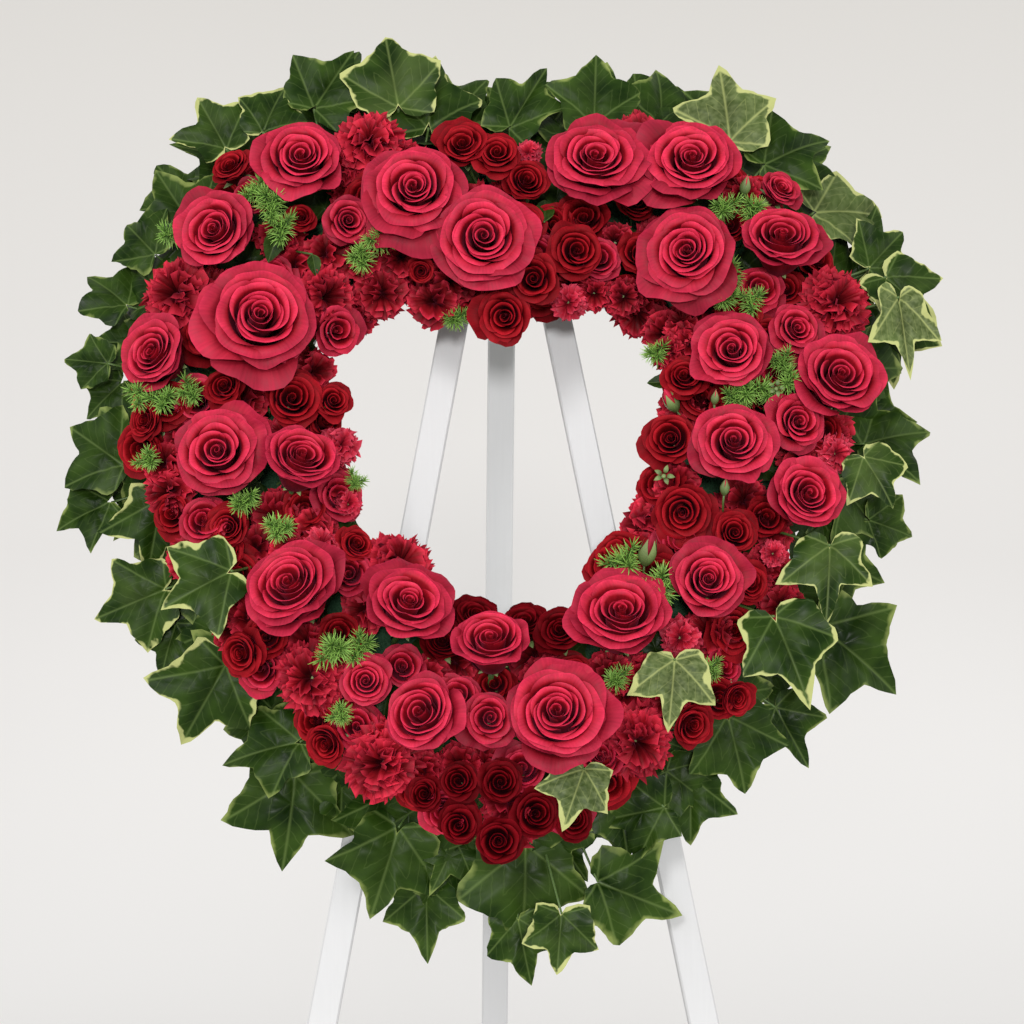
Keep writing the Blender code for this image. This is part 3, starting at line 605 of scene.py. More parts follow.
def add_calyx(sheets, rng, diameter):
    """The green hip and five drooping sepals under a head at the origin."""
    hip = [Vector((0, 0, z)) * diameter for z in (-0.1, -0.06, -0.02, 0.01)]
    add_tube(sheets, hip, np.array([0.03, 0.06, 0.08, 0.05]) * diameter, 0.5, GREEN_SLOT, 8)
    s, t = petal_grid(5, 7)
    for k in range(5):
        a = k * 2 * math.pi / 5 + rng.uniform(-0.2, 0.2)
        length = 0.34 * rng.uniform(0.85, 1.1)
        width = 0.07 * np.sin(math.pi * np.clip(0.15 + 0.85 * t, 0, 1)) ** 0.8 * s
        lean = math.radians(75) * t + 0.4
        out = 0.07 + np.cumsum(np.sin(lean), axis=0) * length / 7
        up = 0.02 + np.cumsum(np.cos(lean), axis=0) * length / 7 * (1 - 0.5 * t) - 0.02 * np.abs(s)
        points = turned(out, width, up, a) * diameter
        sheets.add(points, (s + 1) / 2, t, rng.uniform(0, 1), slot=GREEN_SLOT)


# ---- carnations

CARNATION_TOP = 0.56


def carnation_head(sheets, rng, diameter, petals, teeth, rows):
    """A dome of softly ruffled petals that faces +Z from its base at the origin."""
    columns = 2 * teeth + 1
    s, t = petal_grid(columns, rows)
    saw = (np.arange(columns) % 2)[None, :]
    for k in range(petals):
        f = (k + 0.5) / petals
        lean = math.radians(6 + 84 * f**0.62 + rng.uniform(-9, 9))
        azimuth = k * GOLDEN_TURN + rng.uniform(-0.4, 0.4)
        length = 0.5 * rng.uniform(0.86, 1.06)
        turns = lean * (0.25 + 1.0 * t) + 0.6 * t**3
        step = length / (rows - 1)
        grow = 0.45 + 0.55 * np.sqrt(1.0 - 0.98 * np.abs(s) ** 3.2) - 0.05 * saw * t**3
        grow = grow + 0.04 * rng.uniform(-1, 1, (1, columns)) * t**2
        out = (np.cumsum(np.sin(turns), axis=0) - np.sin(turns[0])) * step * grow
        up = (np.cumsum(np.cos(turns), axis=0) - np.cos(turns[0])) * step * grow
        half = length * (0.07 + 0.42 * t**1.2) * rng.uniform(0.85, 1.15)
        phase = rng.uniform(0, 2 * math.pi, 2)
        ruffle = 0.8 * np.sin(3.1 * math.pi * s + phase[0]) + 0.5 * np.sin(5.6 * math.pi * s + phase[1])
        ruffle = ruffle * 0.085 * t**1.7
        roll = rng.uniform(-0.6, 0.6)
        side = 0.95 * half * s
        lift = side * math.sin(roll) + ruffle * math.cos(roll)
        x = out - lift * np.cos(turns)
        y = side * math.cos(roll) - ruffle * math.sin(roll)
        z = 0.92 * (up + lift * np.sin(turns)) + 0.1
        sheets.add(turned(x, y, z, azimuth) * diameter, (s + 1) / 2, t, rng.uniform(0, 1))


def add_cup(sheets, diameter):
    """The green tube that holds a carnation's petals."""
    path = [Vector((0, 0, z)) * diameter for z in (-0.16, -0.12, 0.0, 0.14, 0.2)]
    add_tube(sheets, path, np.array([0.04, 0.09, 0.11, 0.12, 0.16]) * diameter, 0.5, GREEN_SLOT, 8)


# ---- ivy

LEAF_CENTROID = 0.303  # a CAD leaf's centroid lies this share of its length from its base
LEAF_HEART = 0.3  # the middle that a leaf's outline is drawn round
# Lobe tips and the notches between them: degrees from the tip, distance from the middle, and how full the
# run of edge after it is.
LEAF_OUTLINE = (
    (0, 0.73, 1.7), (34, 0.37, 1.8), (70, 0.69, 1.6), (103, 0.42, 1.5), (136, 0.56, 0.5), (180, 0.27, 1.0),
)
NOTCHES = (1, 3)  # which of those are notches


def leaf_radii(rng, turns, full):
    """How far the outline is from the middle at each angle. full makes its notches shallow."""
    stops = np.radians([a for a, _, _ in LEAF_OUTLINE])
    radii = np.array([[r for _, r, _ in LEAF_OUTLINE]] * 2)  # of the right half, then of the left half
    radii = radii * (1.0 + rng.uniform(-0.12, 0.12, radii.shape))
    radii[:, NOTCHES[0]] *= full
    radii[:, NOTCHES[1]] *= max(full, 1.15)
    radii[1, 0], radii[1, -1] = radii[0, 0], radii[0, -1]
    found = []
    for turn in turns:
        side = radii[int(turn < 0)]
        k = min(int(np.searchsorted(stops, abs(turn), side="right")) - 1, len(stops) - 2)
        x = (abs(turn) - stops[k]) / (stops[k + 1] - stops[k])
        power = LEAF_OUTLINE[k][2]
        if side[k] > side[k + 1]:
            found.append(side[k + 1] + (side[k] - side[k + 1]) * (1 - x) ** power)
        else:
            found.append(side[k] + (side[k + 1] - side[k]) * x**power)
    wavy = 0.03 * np.sin(9 * turns + rng.uniform(0, 6)) + 0.02 * np.sin(17 * turns + rng.uniform(0, 6))
    return np.array(found) * (1.0 + wavy)


def add_leaf(sheets, rng, length, cream, matrix, wave=0.05, steps=5, rings=6, full=None):
    """One five-lobed leaf, its notch at the matrix's origin, its tip towards Y, facing Z."""
    stops = [math.radians(a) for a, _, _ in LEAF_OUTLINE]
    half = [low + (high - low) * i / steps for low, high in zip(stops, stops[1:]) for i in range(steps)]
    turns = np.array([-math.pi, *[-turn for turn in half[:0:-1]], *half])
    outline = leaf_radii(rng, turns, rng.uniform(0.85, 1.25) if full is None else full)
    share = np.linspace(0.0, 1.0, rings + 1)[:, None] ** 0.8
    x = share * (outline * np.sin(turns))[None, :]
    y = share * (outline * np.cos(turns))[None, :] + LEAF_HEART
    heading = np.arctan2(np.abs(x), y)
    aside = np.min([np.abs(np.sin(heading - math.radians(v))) for v in LEAF_VEINS], axis=0) * np.hypot(x, y)
    phase = rng.uniform(0, 2 * math.pi, 3)
    droop = rng.uniform(0.05, 0.4)
    z = 0.1 * np.abs(x) + 0.45 * np.clip(aside, 0, 0.12)
    z = z - droop * ((y - 0.2) ** 2 * np.where(y > 0.2, 1.0, 0.5) + 1.1 * x * x)
    z = z + wave * share**2 * (np.sin(3 * turns + phase[0]) + 0.6 * np.sin(7 * turns + phase[1]))
    z = z + 0.1 * x * math.sin(phase[2])
    points = moved(np.stack([x, y, z], axis=-1) * length, matrix)
    rim = np.broadcast_to(share, x.shape)
    sheets.add(points, 0.5 + 0.5 * x, UV_BASE + UV_LENGTH * y, cream, rim, close=True)


# ---- the heart

# The right half of the ring's middle line, in millimetres, as in the CAD: cleft, lobe, side and bottom point.
HALF_HEART = (
    ((0, 232), (40, 232), (66, 246), (105, 246)),
    ((105, 246), (152, 246), (193, 187), (193, 107)),
    ((193, 107), (193, 22), (80, -150), (0, -150)),
)
HALF_SHARES = (0.0, 0.11, 0.25, 0.5)


def heart_middle(share):
    """The middle line at a share of the way round, clockwise from the cleft."""
    share %= 1.0
    mirrored = share > 0.5
    along = 1.0 - share if mirrored else share
    stretch = max(i for i in range(3) if HALF_SHARES[i] <= along)
    t = (along - HALF_SHARES[stretch]) / (HALF_SHARES[stretch + 1] - HALF_SHARES[stretch])
    s = 1.0 - t
    weights = (s**3, 3 * s * s * t, 3 * s * t * t, t**3)
    x, y = (sum(w * p[i] for w, p in zip(weights, HALF_HEART[stretch])) for i in (0, 1))
    return Vector((-x if mirrored else x, y))


def heart_beside(share, offset):
    """A point beside the middle line, offset outwards, and the outward direction."""
    run = heart_middle(share + 0.002) - heart_middle(share - 0.002)
    outwards = Vector((-run.y, run.x)).normalized()
    return heart_middle(share) + outwards * float(offset), outwards


LINE_STEPS = 400  # places along the middle line among which the nearest is looked for
LINE = [heart_middle(i / LINE_STEPS) for i in range(LINE_STEPS)]


def nearest_share(x, y):
    return min(range(LINE_STEPS), key=lambda i: (LINE[i].x - x) ** 2 + (LINE[i].y - y) ** 2) / LINE_STEPS


def inside_ring(across, up, out):
    """Where the stem of something at a place starts: at the nearest point of the ring's middle line."""
    middle = heart_middle(nearest_share(across, up))
    return place(middle.x, middle.y, out)


# ---- flowers at the CAD solids

BLOOMS = []  # across, up and radius of every bloom in view, in millimetres


def note_bloom(top, diameter):
    across, up, _ = heart_coordinates(top)
    BLOOMS.append((across, up, diameter / MM / 2.0))


# The CAD blooms' flat faces: their corners, and their radius for a bloom with a diameter of 1.
CAP_SIDES, SPRAY_CAP_SIDES = 9, 7
ROSE_CAP, CARNATION_CAP = 0.3, 0.28

# A bloom's neck, where its stem joins it, is this far below its base for a diameter of 1.
ROSE_NECK, CARNATION_NECK = 0.08, 0.12

SPRAY_CAP_AREA = 115 * MM * MM  # of the flat faces on a CAD spray, those that are heads are larger than this
FORK_RISE = 31.0 * MM  # a spray's stem forks this far above its root

# How the large roses differ, in their order: how closed each is, and how far it turns to the right and up.
ROSE_LOOKS = (
    (0.15, 0.05, 0.1), (0.2, -0.2, 0.0), (0.0, 0.05, 0.05), (0.2, -0.25, 0.15), (0.0, -0.1, 0.15),
    (0.1, 0.0, 0.15), (0.05, 0.0, 0.25), (0.1, -0.1, 0.2), (0.0, -0.15, 0.1), (0.45, -0.15, 0.3),
    (0.15, 0.0, 0.1), (0.2, -0.1, 0.25), (0.1, 0.0, 0.1), (0.3, 0.0, 0.2), (0.0, 0.0, 0.1),
    (0.45, 0.1, 0.28), (0.3, -0.2, 0.3), (0.1, 0.05, 0.3), (0.45, -0.15, 0.3), (0.45, -0.1, 0.2),
    (0.1, -0.1, 0.25), (0.25, 0.05, 0.3), (0.1, 0.0, 0.15),
)


def cap_diameter(area, sides, cap):
    return math.sqrt(2.0 * area / (sides * math.sin(2.0 * math.pi / sides))) / cap


def cad_bloom(name, cap):
    """The top of a CAD node's one bloom, the way it faces, and its diameter."""
    top, normal, area, _ = flat_faces(name)[0]
    diameter = cap_diameter(area, CAP_SIDES, cap)
    note_bloom(top, diameter)
    return top, normal, diameter


def set_rose(sheets, rng, top, facing, size, spread, green=1.0, **looks):
    """A rose with its highest rim at top. Returns its neck."""
    first = len(sheets.points)
    rose_head(sheets, rng, size * spread, **looks)
    add_calyx(sheets, rng, size * green)
    base = top - ROSE_TOP * size * facing
    sheets.move(any_matrix(base, facing), first)
    return base - ROSE_NECK * size * facing


def set_carnation(sheets, rng, top, facing, size, spread, **looks):
    """A carnation with its highest rim at top. Returns its neck."""
    carnation_head(sheets, rng, size * spread, **looks)
    add_cup(sheets, size)
    base = top - CARNATION_TOP * size * facing
    sheets.move(any_matrix(base, facing))
    return base - CARNATION_NECK * size * facing


def add_stem(sheets, name, face, normal, neck):
    """The stem below a head, down to the CAD stem's end."""
    points = node_points(name)
    depth = float(((np.array(face) - points) @ np.array(normal)).max())
    add_tube(sheets, [neck, face - normal * depth], THICK_STEM, 0.4, STEM_SLOT)


def large_roses():
    names = [name for name in nodes_named("rose_") if name[5:].isdigit()]
    for k, (name, (bud, right, up)) in enumerate(zip(names, ROSE_LOOKS)):
        top, normal, diameter = cad_bloom(name, ROSE_CAP)
        facing = (normal + right * ACROSS + up * UP).normalized()
        rng = np.random.default_rng(100 + k)
        sheets = Sheets()
        petals = 27 if diameter > 64 * MM else 24
        neck = set_rose(sheets, rng, top, facing, diameter, 1.14 + 0.5 * bud, 0.6, petals=petals, bud=bud)
        add_stem(sheets, name, top, normal, neck)
        sheets.piece(f"bloom_{name}", (ROSE, SEPAL, STEM), "rose_petal", (name,))


def large_carnations():
    for k, name in enumerate(nodes_named("carnation_")):
        top, normal, diameter = cad_bloom(name, CARNATION_CAP)
        sheets = Sheets()
        rng = np.random.default_rng(200 + k)
        neck = set_carnation(sheets, rng, top, normal, diameter, 1.1, petals=56, teeth=8, rows=6)
        add_stem(sheets, name, top, normal, neck)
        sheets.piece(f"bloom_{name}", (CARNATION, SEPAL, STEM), "carnation_petal", (name,))


def spray_roses():
    for k, name in enumerate(nodes_named("rose_spray_")):
        rng = np.random.default_rng(300 + k)
        sheets = Sheets()
        points = node_points(name)
        root = Vector(points[int((points @ np.array(OUT)).argmin())])
        fork = root + FORK_RISE * OUT
        add_tube(sheets, [root, fork], THICK_STEM, 0.4, STEM_SLOT)
        for top, normal, area, _ in flat_faces(name):
            if normal.dot(OUT) > 0.9 and area > SPRAY_CAP_AREA:
                size = cap_diameter(area, SPRAY_CAP_SIDES, ROSE_CAP)
                note_bloom(top, size)
                looks = {"petals": 18, "detail": 0.7, "bud": rng.uniform(0.1, 0.4)}
                neck = set_rose(sheets, rng, top, normal, size, 1.32, **looks)
                branch = (fork - 8 * MM * OUT, neck - 8 * MM * normal, neck)
                add_curve(sheets, *branch, 1.3 * MM, 0.5, STEM_SLOT, steps=5)
        petals = DEEP_ROSE if name == "rose_spray_bottom" else DARK_ROSE
        sheets.piece(f"spray_{name[11:]}", (petals, SEPAL, STEM), "spray_rose_petal", (name,))


# ---- ivy on the CAD's vines

# Variegated leaves on the vines: across and up of each one's middle, and how much cream it has. The others
# are plain green.
PALE_IVY = (
    (255, 246, 0.95), (291, 192, 0.97), (291, 154, 0.8), (38, -290, 0.6), (-207, -119, 0.65),
    (-247, 3, 0.75), (-258, -48, 0.5),
)
SAME_LEAF = 14  # a row means the CAD leaf whose middle is within this many millimetres of its place

LEAF_AREA = 500 * MM * MM  # of the flat faces on a CAD vine, the leaves' are larger than this
VINE_STEPS = 14
VINE_ASIDE, VINE_OUT = 57, 28  # where a vine runs, in millimetres from the middle line and from the legs


def vine_path(low, high, wobble):
    """From under the flowers, then along the ring's edge between two shares of the way round it."""
    path = [place(*heart_beside(low, 36)[0], 26), place(*heart_beside(low, 49)[0], 27)]
    for i in range(1, VINE_STEPS + 1):
        share, (aside, lift) = low + (high - low) * i / VINE_STEPS, wobble[i]
        path.append(place(*heart_beside(share, VINE_ASIDE + aside)[0], VINE_OUT + lift))
    return path


def ivy_vines():
    for k, name in enumerate(nodes_named("ivy_vine_")):
        rng = np.random.default_rng(400 + k)
        sheets = Sheets()
        leaves = []
        for centre, normal, area, corners in flat_faces(name):
            if normal.dot(OUT) > 0.8 and area > LEAF_AREA:
                reach = max((p - centre for p in corners), key=lambda p: p.length)
                forward, length = reach.normalized(), reach.length / (1.0 - LEAF_CENTROID)
                across, up, _ = heart_coordinates(centre + reach - forward * length)
                leaves.append((nearest_share(across, up), forward, normal, length, centre))
        shares = [leaf[0] for leaf in leaves]
        low, high = min(shares) - 0.012, max(shares) + 0.006
        path = vine_path(low, high, rng.uniform(-1.5, 1.5, (VINE_STEPS + 1, 2)))
        add_tube(sheets, path, np.linspace(1.9, 1.1, len(path)) * MM, 0.3, 1)
        for share, forward, normal, length, centre in leaves:
            u, v, _ = heart_coordinates(centre)
            pale = [cream for x, y, cream in PALE_IVY if math.hypot(u - x, v - y) < SAME_LEAF]
            cream = pale[0] if pale else rng.uniform(0.0, 0.28)
            base = centre - forward * length * LEAF_CENTROID
            add_leaf(sheets, rng, length, cream, frame_matrix(base, forward, normal))
            start = place(*heart_beside(share, VINE_ASIDE)[0], VINE_OUT)
            sag = (start + base) / 2 - 4 * MM * OUT
            add_curve(sheets, start, sag, base, np.linspace(1.2, 0.8, 7) * MM, 0.6, 1)
        sheets.piece(f"leaves_{name}", (IVY, STEM), "ivy_leaf", (name,))


# ---- small flowers, which have no CAD solid

# Small roses: across, up, out, diameter, how closed, and how far each turns to the right and up.
SMALL_ROSES = (
    (-195, 256, 100, 35, 0.3, -0.2, 0.2),
    (-144, 218, 100, 25, 0.4, 0.0, 0.1),
    (-110, 214, 104, 36, 0.1, 0.1, 0.0),
    (-58, 178, 98, 23, 0.5, 0.0, 0.0),
    (203, 242, 98, 33, 0.2, 0.2, 0.2),
    (210, 134, 102, 39, 0.0, 0.1, 0.0),
    (208, 64, 106, 42, 0.0, 0.1, 0.0),
    (162, -15, 98, 36, 0.3, 0.0, 0.0),
    (171, -51, 98, 35, 0.3, 0.2, 0.0),
    (-253, 69, 90, 36, 0.4, -0.4, 0.0),
    (-193, -11, 98, 36, 0.3, -0.1, 0.0),
    (-104, -22, 92, 30, 0.3, 0.2, 0.1),
    (-183, -99, 92, 37, 0.3, -0.3, -0.1),
    (-97, -122, 106, 37, 0.1, 0.0, 0.1),
    (-124, -163, 94, 36, 0.4, -0.3, -0.2),
    (-44, -93, 102, 35, 0.3, -0.1, 0.1),
    (-12, -148, 108, 40, 0.0, 0.0, 0.0),
    (38, -86, 104, 37, 0.2, 0.0, 0.1),
    (129, -150, 90, 36, 0.4, 0.2, -0.2),
    (161, -130, 84, 32, 0.5, 0.3, -0.2),
    (-20, -72, 88, 38, 0.3, 0.0, 0.3),
    (14, -77, 88, 36, 0.3, 0.1, 0.3),
    (-41, -70, 84, 34, 0.3, -0.1, 0.3),
    (37, -82, 84, 30, 0.3, 0.1, 0.3),
)

# Extra carnations and mini carnations: across, up, out, diameter, and whether it is one of the pink ones.
SMALL_CARNATIONS = (
    (-240, 18, 90, 42, False),
    (-225, -31, 84, 44, False),
    (-101, 263, 90, 30, False),
    (-111, 245, 88, 30, False),
    (21, 276, 90, 22, True),
    (50, 158, 86, 30, True),
    (69, 166, 84, 30, False),
    (90, 163, 84, 33, False),
    (84, 204, 92, 32, False),
    (127, 142, 92, 32, False),
    (118, 122, 90, 32, False),
    (240, 45, 98, 30, True),
    (-112, 54, 92, 32, True),
    (-108, 12, 86, 22, True),
    (-127, -21, 98, 30, True),
    (-86, -157, 96, 28, False),
    (-129, -129, 88, 30, False),
    (124, -88, 96, 33, True),
    (192, -28, 94, 22, True),
)


def leaning_out(across, up):
    """The way a small bloom faces: outwards, and away from the ring's middle line."""
    middle = heart_middle(nearest_share(across, up))
    return heart_direction((across - middle.x) * 0.006, (up - middle.y) * 0.006, 1.0)


def small_stem(sheets, neck, facing, across, up, radius):
    add_curve(sheets, inside_ring(across, up, 48), neck - 12 * MM * facing, neck, radius * MM, 0.4, STEM_SLOT)


def small_roses():
    for k, (across, up, out, diameter, bud, right, lift) in enumerate(SMALL_ROSES):
        rng = np.random.default_rng(500 + k)
        facing = (leaning_out(across, up) + right * ACROSS + lift * UP).normalized()
        top, size = place(across, up, out), diameter * MM
        note_bloom(top, size)
        sheets = Sheets()
        neck = set_rose(sheets, rng, top, facing, size, 1.14, petals=19, detail=0.75, bud=bud)
        small_stem(sheets, neck, facing, across, up, 1.3)
        at_point = abs(across) < 60 and -95 < up < -60  # the dark ones at the foot of the open middle
        material = DEEP_ROSE if at_point else DARK_ROSE if bud >= 0.3 else ROSE
        sheets.piece(f"small_rose_{k + 1:02d}", (material, SEPAL, STEM), "spray_rose_petal")


def small_carnations():
    for k, (across, up, out, diameter, pink) in enumerate(SMALL_CARNATIONS):
        rng = np.random.default_rng(600 + k)
        facing = leaning_out(across, up)
        top, size = place(across, up, out), diameter * MM
        note_bloom(top, size)
        sheets = Sheets()
        neck = set_carnation(sheets, rng, top, facing, size, 1.12, petals=24, teeth=7, rows=5)
        small_stem(sheets, neck, facing, across, up, 1.2)
        material = PINK if pink else CARNATION
        sheets.piece(f"mini_carnation_{k + 1:02d}", (material, SEPAL, STEM), "carnation_petal")


# ---- rosebuds, calyxes and small rose leaves

# Rosebuds: across, up and out of the base, length, heading across and up, and how much of the red shows.
BUDS = (
    (174, 232, 112, 15, 0.2, 1.0, 0.0),
    (148, 74, 116, 11, 0.1, 1.0, 0.0),
    (153, 8, 116, 13, 0.1, 1.0, 0.0),
    (97, -40, 106, 24, 0.25, 1.0, 0.45),
    (124, 76, 92, 20, -0.6, 0.8, 0.5),
)

# Open calyxes and small rose leaves that show between the flowers: across, up, out, size.
CALYXES = ((112, 24, 108, 24), (193, 87, 112, 22))
ROSE_LEAVES = (  # with the heading across and up
    (-160, 206, 104, 24, -0.3, -1.0),
    (31, 216, 98, 22, 0.1, 1.0),
    (124, 98, 88, 20, -1.0, 0.1),
    (-136, 190, 100, 16, 0.2, -1.0),
)


def add_bud(sheets, rng, length, red):
    """A closed bud along Z: petals rolled to a point, and five sepals that hug them."""
    turns, t = np.meshgrid(np.linspace(0.0, 2.0 * math.pi, 12, endpoint=False), np.linspace(0.0, 1.0, 9))
    belly = 0.24 * np.sin(math.pi * (0.06 + 0.93 * t) ** 0.8)
    swirl = 1.0 + 0.08 * np.sin(3 * turns + 4.0 * t)
    body = round_z(belly * swirl, turns, t) * length
    sheets.add(body, turns / 7.0, 0.4 + 0.6 * t, rng.uniform(0, 1), close=True)
    s, t = petal_grid(5, 9)
    reach = t * (1.08 - 0.5 * red)
    for k in range(5):
        around = 2.0 * math.pi * k / 5 + s * (0.85 * (1.0 - t**1.5) + 0.04)
        off = 0.24 * np.sin(math.pi * np.clip(0.06 + 0.93 * reach, 0, 1) ** 0.8) * 1.1 + 0.16 * red * t**4
        sepal = round_z(off, around, reach) * length
        sheets.add(sepal, (s + 1) / 2, t, rng.uniform(0, 1), slot=GREEN_SLOT)


def add_rose_leaf(sheets, length, matrix, tint):
    """A pointed oval leaf with a folded midrib and a toothed edge, from the matrix's origin towards its Y."""
    s, t = petal_grid(9, 13)
    teeth = 1.0 + 0.06 * (np.arange(13) % 2)[:, None] * np.abs(s) ** 3
    x = 0.3 * s * np.sin(math.pi * t**0.85) ** 0.8 * teeth
    z = 0.3 * np.abs(x) - 0.25 * t * t
    points = moved(np.stack([x, t, z], axis=-1) * length, matrix)
    sheets.add(points, 0.5 + 0.4 * x, 0.2 + 0.45 * t, tint, np.abs(s) * 0.9)


def buds_and_small_leaves():
    rng = np.random.default_rng(750)
    sheets = Sheets()
    for across, up, out, length, right, lift, red in BUDS:
        base, facing = place(across, up, out), heart_direction(right, lift, 0.7)
        first = len(sheets.points)
        add_bud(sheets, rng, length * MM, red)
        sheets.move(any_matrix(base, facing), first)
        bend = base - 18 * MM * facing
        add_curve(sheets, inside_ring(across, up, 60), bend, base, 0.8 * MM, 0.6, STEM_SLOT)
    for across, up, out, size in CALYXES:
        first = len(sheets.points)
        add_calyx(sheets, rng, size * MM)
        sheets.move(any_matrix(place(across, up, out), OUT), first)
    sheets.piece("rosebuds", (ROSE, SEPAL, STEM), "rose_petal")
    leaves = Sheets()
    facing = heart_direction(0.1, 0.2, 1.0)
    for across, up, out, length, right, lift in ROSE_LEAVES:
        base = place(across, up, out)
        matrix = frame_matrix(base, heart_direction(right, lift, 0.1), facing)
        add_rose_leaf(leaves, length * MM, matrix, rng.uniform(0, 0.2))
        add_tube(leaves, [inside_ring(across, up, 60), base], 0.8 * MM, 0.4, 1, 5)
    leaves.piece("small_rose_leaves", (IVY, STEM), "ivy_leaf")


# ---- fern

# Fern tufts: across, up, out and size, grouped into sprigs.
FERN_SPRIGS = {
    "top_left": ((-175, 234, 112, 20), (-166, 223, 116, 22), (-158, 207, 112, 20), (-235, 206, 98, 18)),
    "cleft": ((-88, 198, 112, 20), (-100, 186, 110, 20), (-60, 199, 106, 16), (-32, 152, 76, 18)),
    "top_right": ((160, 224, 112, 20), (181, 223, 108, 20), (111, 122, 86, 18)),
    "right": (
        (164, 171, 112, 20), (160, 154, 112, 18), (178, 154, 110, 18),
        (199, 108, 110, 18), (203, 93, 112, 18),
    ),
    "right_low": ((174, 88, 112, 22), (165, 80, 110, 18), (188, 84, 108, 18)),
    "left": ((-254, 84, 104, 18), (-239, 81, 108, 20), (-220, 86, 108, 18), (-250, 40, 96, 16)),
    "left_low": ((-181, 5, 112, 19), (-157, -13, 112, 20), (-106, 24, 94, 14)),
    "bottom_left": ((-118, -100, 116, 24), (-102, -100, 112, 20), (-113, -143, 104, 16)),
    "bottom_right": ((84, -36, 106, 24), (109, -55, 112, 26), (76, -120, 108, 18), (141, -113, 104, 16)),
}
TWIGS, NEEDLES = 3, 46  # twigs in each tuft, and needles on each twig
TWIG_LENGTH = 0.6  # of a twig's size


def fern_twig(sheets, rng, size, matrix):
    """A short curved twig along the matrix's Z, with fine needles that spread all round it."""
    first = len(sheets.points)
    t = np.array([0.0, 0.5, 1.0])[:, None, None]
    ring = np.array([0.0, 2.1, 4.2])[None, :, None]
    width = size * 0.026 * np.array([0.7, 1.0, 0.15])[:, None, None]
    bend = rng.uniform(-0.5, 0.5, 2)
    for k in range(NEEDLES):
        f = (k + 0.5) / NEEDLES
        root = size * TWIG_LENGTH * np.array([bend[0] * f * f, bend[1] * f * f, f])
        lean = math.radians(78 - 60 * f**3) + rng.uniform(-0.2, 0.2)
        azimuth = k * GOLDEN_TURN + rng.uniform(-0.3, 0.3)
        flat = math.sin(lean)
        direction = np.array([flat * math.cos(azimuth), flat * math.sin(azimuth), math.cos(lean)])
        side = np.cross(direction, rng.normal(size=3))
        side = side / np.linalg.norm(side)
        other = np.cross(direction, side)
        length = size * rng.uniform(0.5, 0.68) * (1.0 - 0.3 * f)
        points = root + direction * length * t + width * (np.cos(ring) * side + np.sin(ring) * other)
        along = np.broadcast_to(t[:, :, 0], (3, 3))
        sheets.add(points, np.zeros((3, 3)), along, rng.uniform(0, 1), close=True)
    stem = [Vector((bend[0] * f * f, bend[1] * f * f, f)) * size * TWIG_LENGTH for f in (0, 0.4, 0.8)]
    add_tube(sheets, stem, 0.5 * MM, 0.2, 1, 4)
    sheets.move(matrix, first)


def ferns():
    for k, (name, tufts) in enumerate(FERN_SPRIGS.items()):
        rng = np.random.default_rng(700 + k)
        sheets = Sheets()
        for across, up, out, size in tufts:
            facing = leaning_out(across, up)
            centre = place(across, up, out - 0.35 * size)
            spin = rng.uniform(0, 2 * math.pi)
            for n in range(TWIGS):
                turn = spin + n * 2 * math.pi / TWIGS + rng.uniform(-0.4, 0.4)
                lean = facing + rng.uniform(0.5, 0.9) * heart_direction(math.cos(turn), math.sin(turn), 0.0)
                fern_twig(sheets, rng, size * 0.95 * MM, any_matrix(centre, lean))
            root, bend = inside_ring(across, up, 48), centre - 20 * MM * OUT
            add_curve(sheets, root, bend, centre, 0.9 * MM, 0.2, 1)
        sheets.piece(f"fern_{name}", (FERN, STEM), "ivy_leaf")


# ---- ivy on top of the flowers

# Single leaves, on the flowers and then along their upper edge: base across, up and out, length,
# heading in degrees clockwise from straight up, how much cream it has, and how broad and full it is.
TOP_LEAVES = (
    (115, -110, 122, 50, 186, 1.0, 0.95),
    (185, -79, 118, 62, 160, 0.75, 1.1),
    (52, -184, 112, 44, 200, 0.97, 1.0),
    (227, -27, 112, 52, 185, 0.84, 0.95),
    (255, 40, 100, 44, 150, 0.84, 1.1),
    (-190, -45, 112, 56, -120, 0.6, 1.1),
    (-200, 281, 72, 50, -28, 0.6, 1.0),
    (-173, 291, 80, 45, 20, 0.8, 1.2),
    (-136, 311, 75, 58, 30, 0.1, 1.0),
    (-74, 310, 80, 62, -9, 0.84, 1.15),
    (-52, 298, 72, 64, 5, 0.32, 1.0),
    (8, 300, 68, 62, 29, 0.1, 0.75),
    (70, 301, 74, 56, 3, 0.2, 1.2),
    (170, 288, 76, 64, -4, 1.0, 1.1),
    (195, 270, 72, 58, 61, 0.25, 1.0),
    (271, 193, 66, 44, 42, 0.4, 1.05),
    (280, 180, 84, 52, 138, 0.6, 0.9),
    (286, 160, 98, 62, 176, 1.0, 0.62),
)


def top_leaves():
    rng = np.random.default_rng(800)
    sheets = Sheets()
    for across, up, out, length, heading, cream, full in TOP_LEAVES:
        angle = math.radians(heading)
        forward = heart_direction(math.sin(angle), math.cos(angle), -0.1)
        base = place(across, up, out)
        matrix = frame_matrix(base, forward, heart_direction(0, 0.1, 1))
        matrix @= Matrix.Diagonal((min(full, 1.0), 1.0, 1.0, 1.0))
        add_leaf(sheets, rng, length * MM, cream, matrix, wave=0.03, full=max(full, 0.95))
        add_curve(sheets, inside_ring(across, up, 60), base - 10 * MM * OUT, base, 1.0 * MM, 0.6, 1)
    sheets.piece("ivy_top_leaves", (IVY, STEM), "ivy_leaf")


# ---- the low bed of flowers and leaves

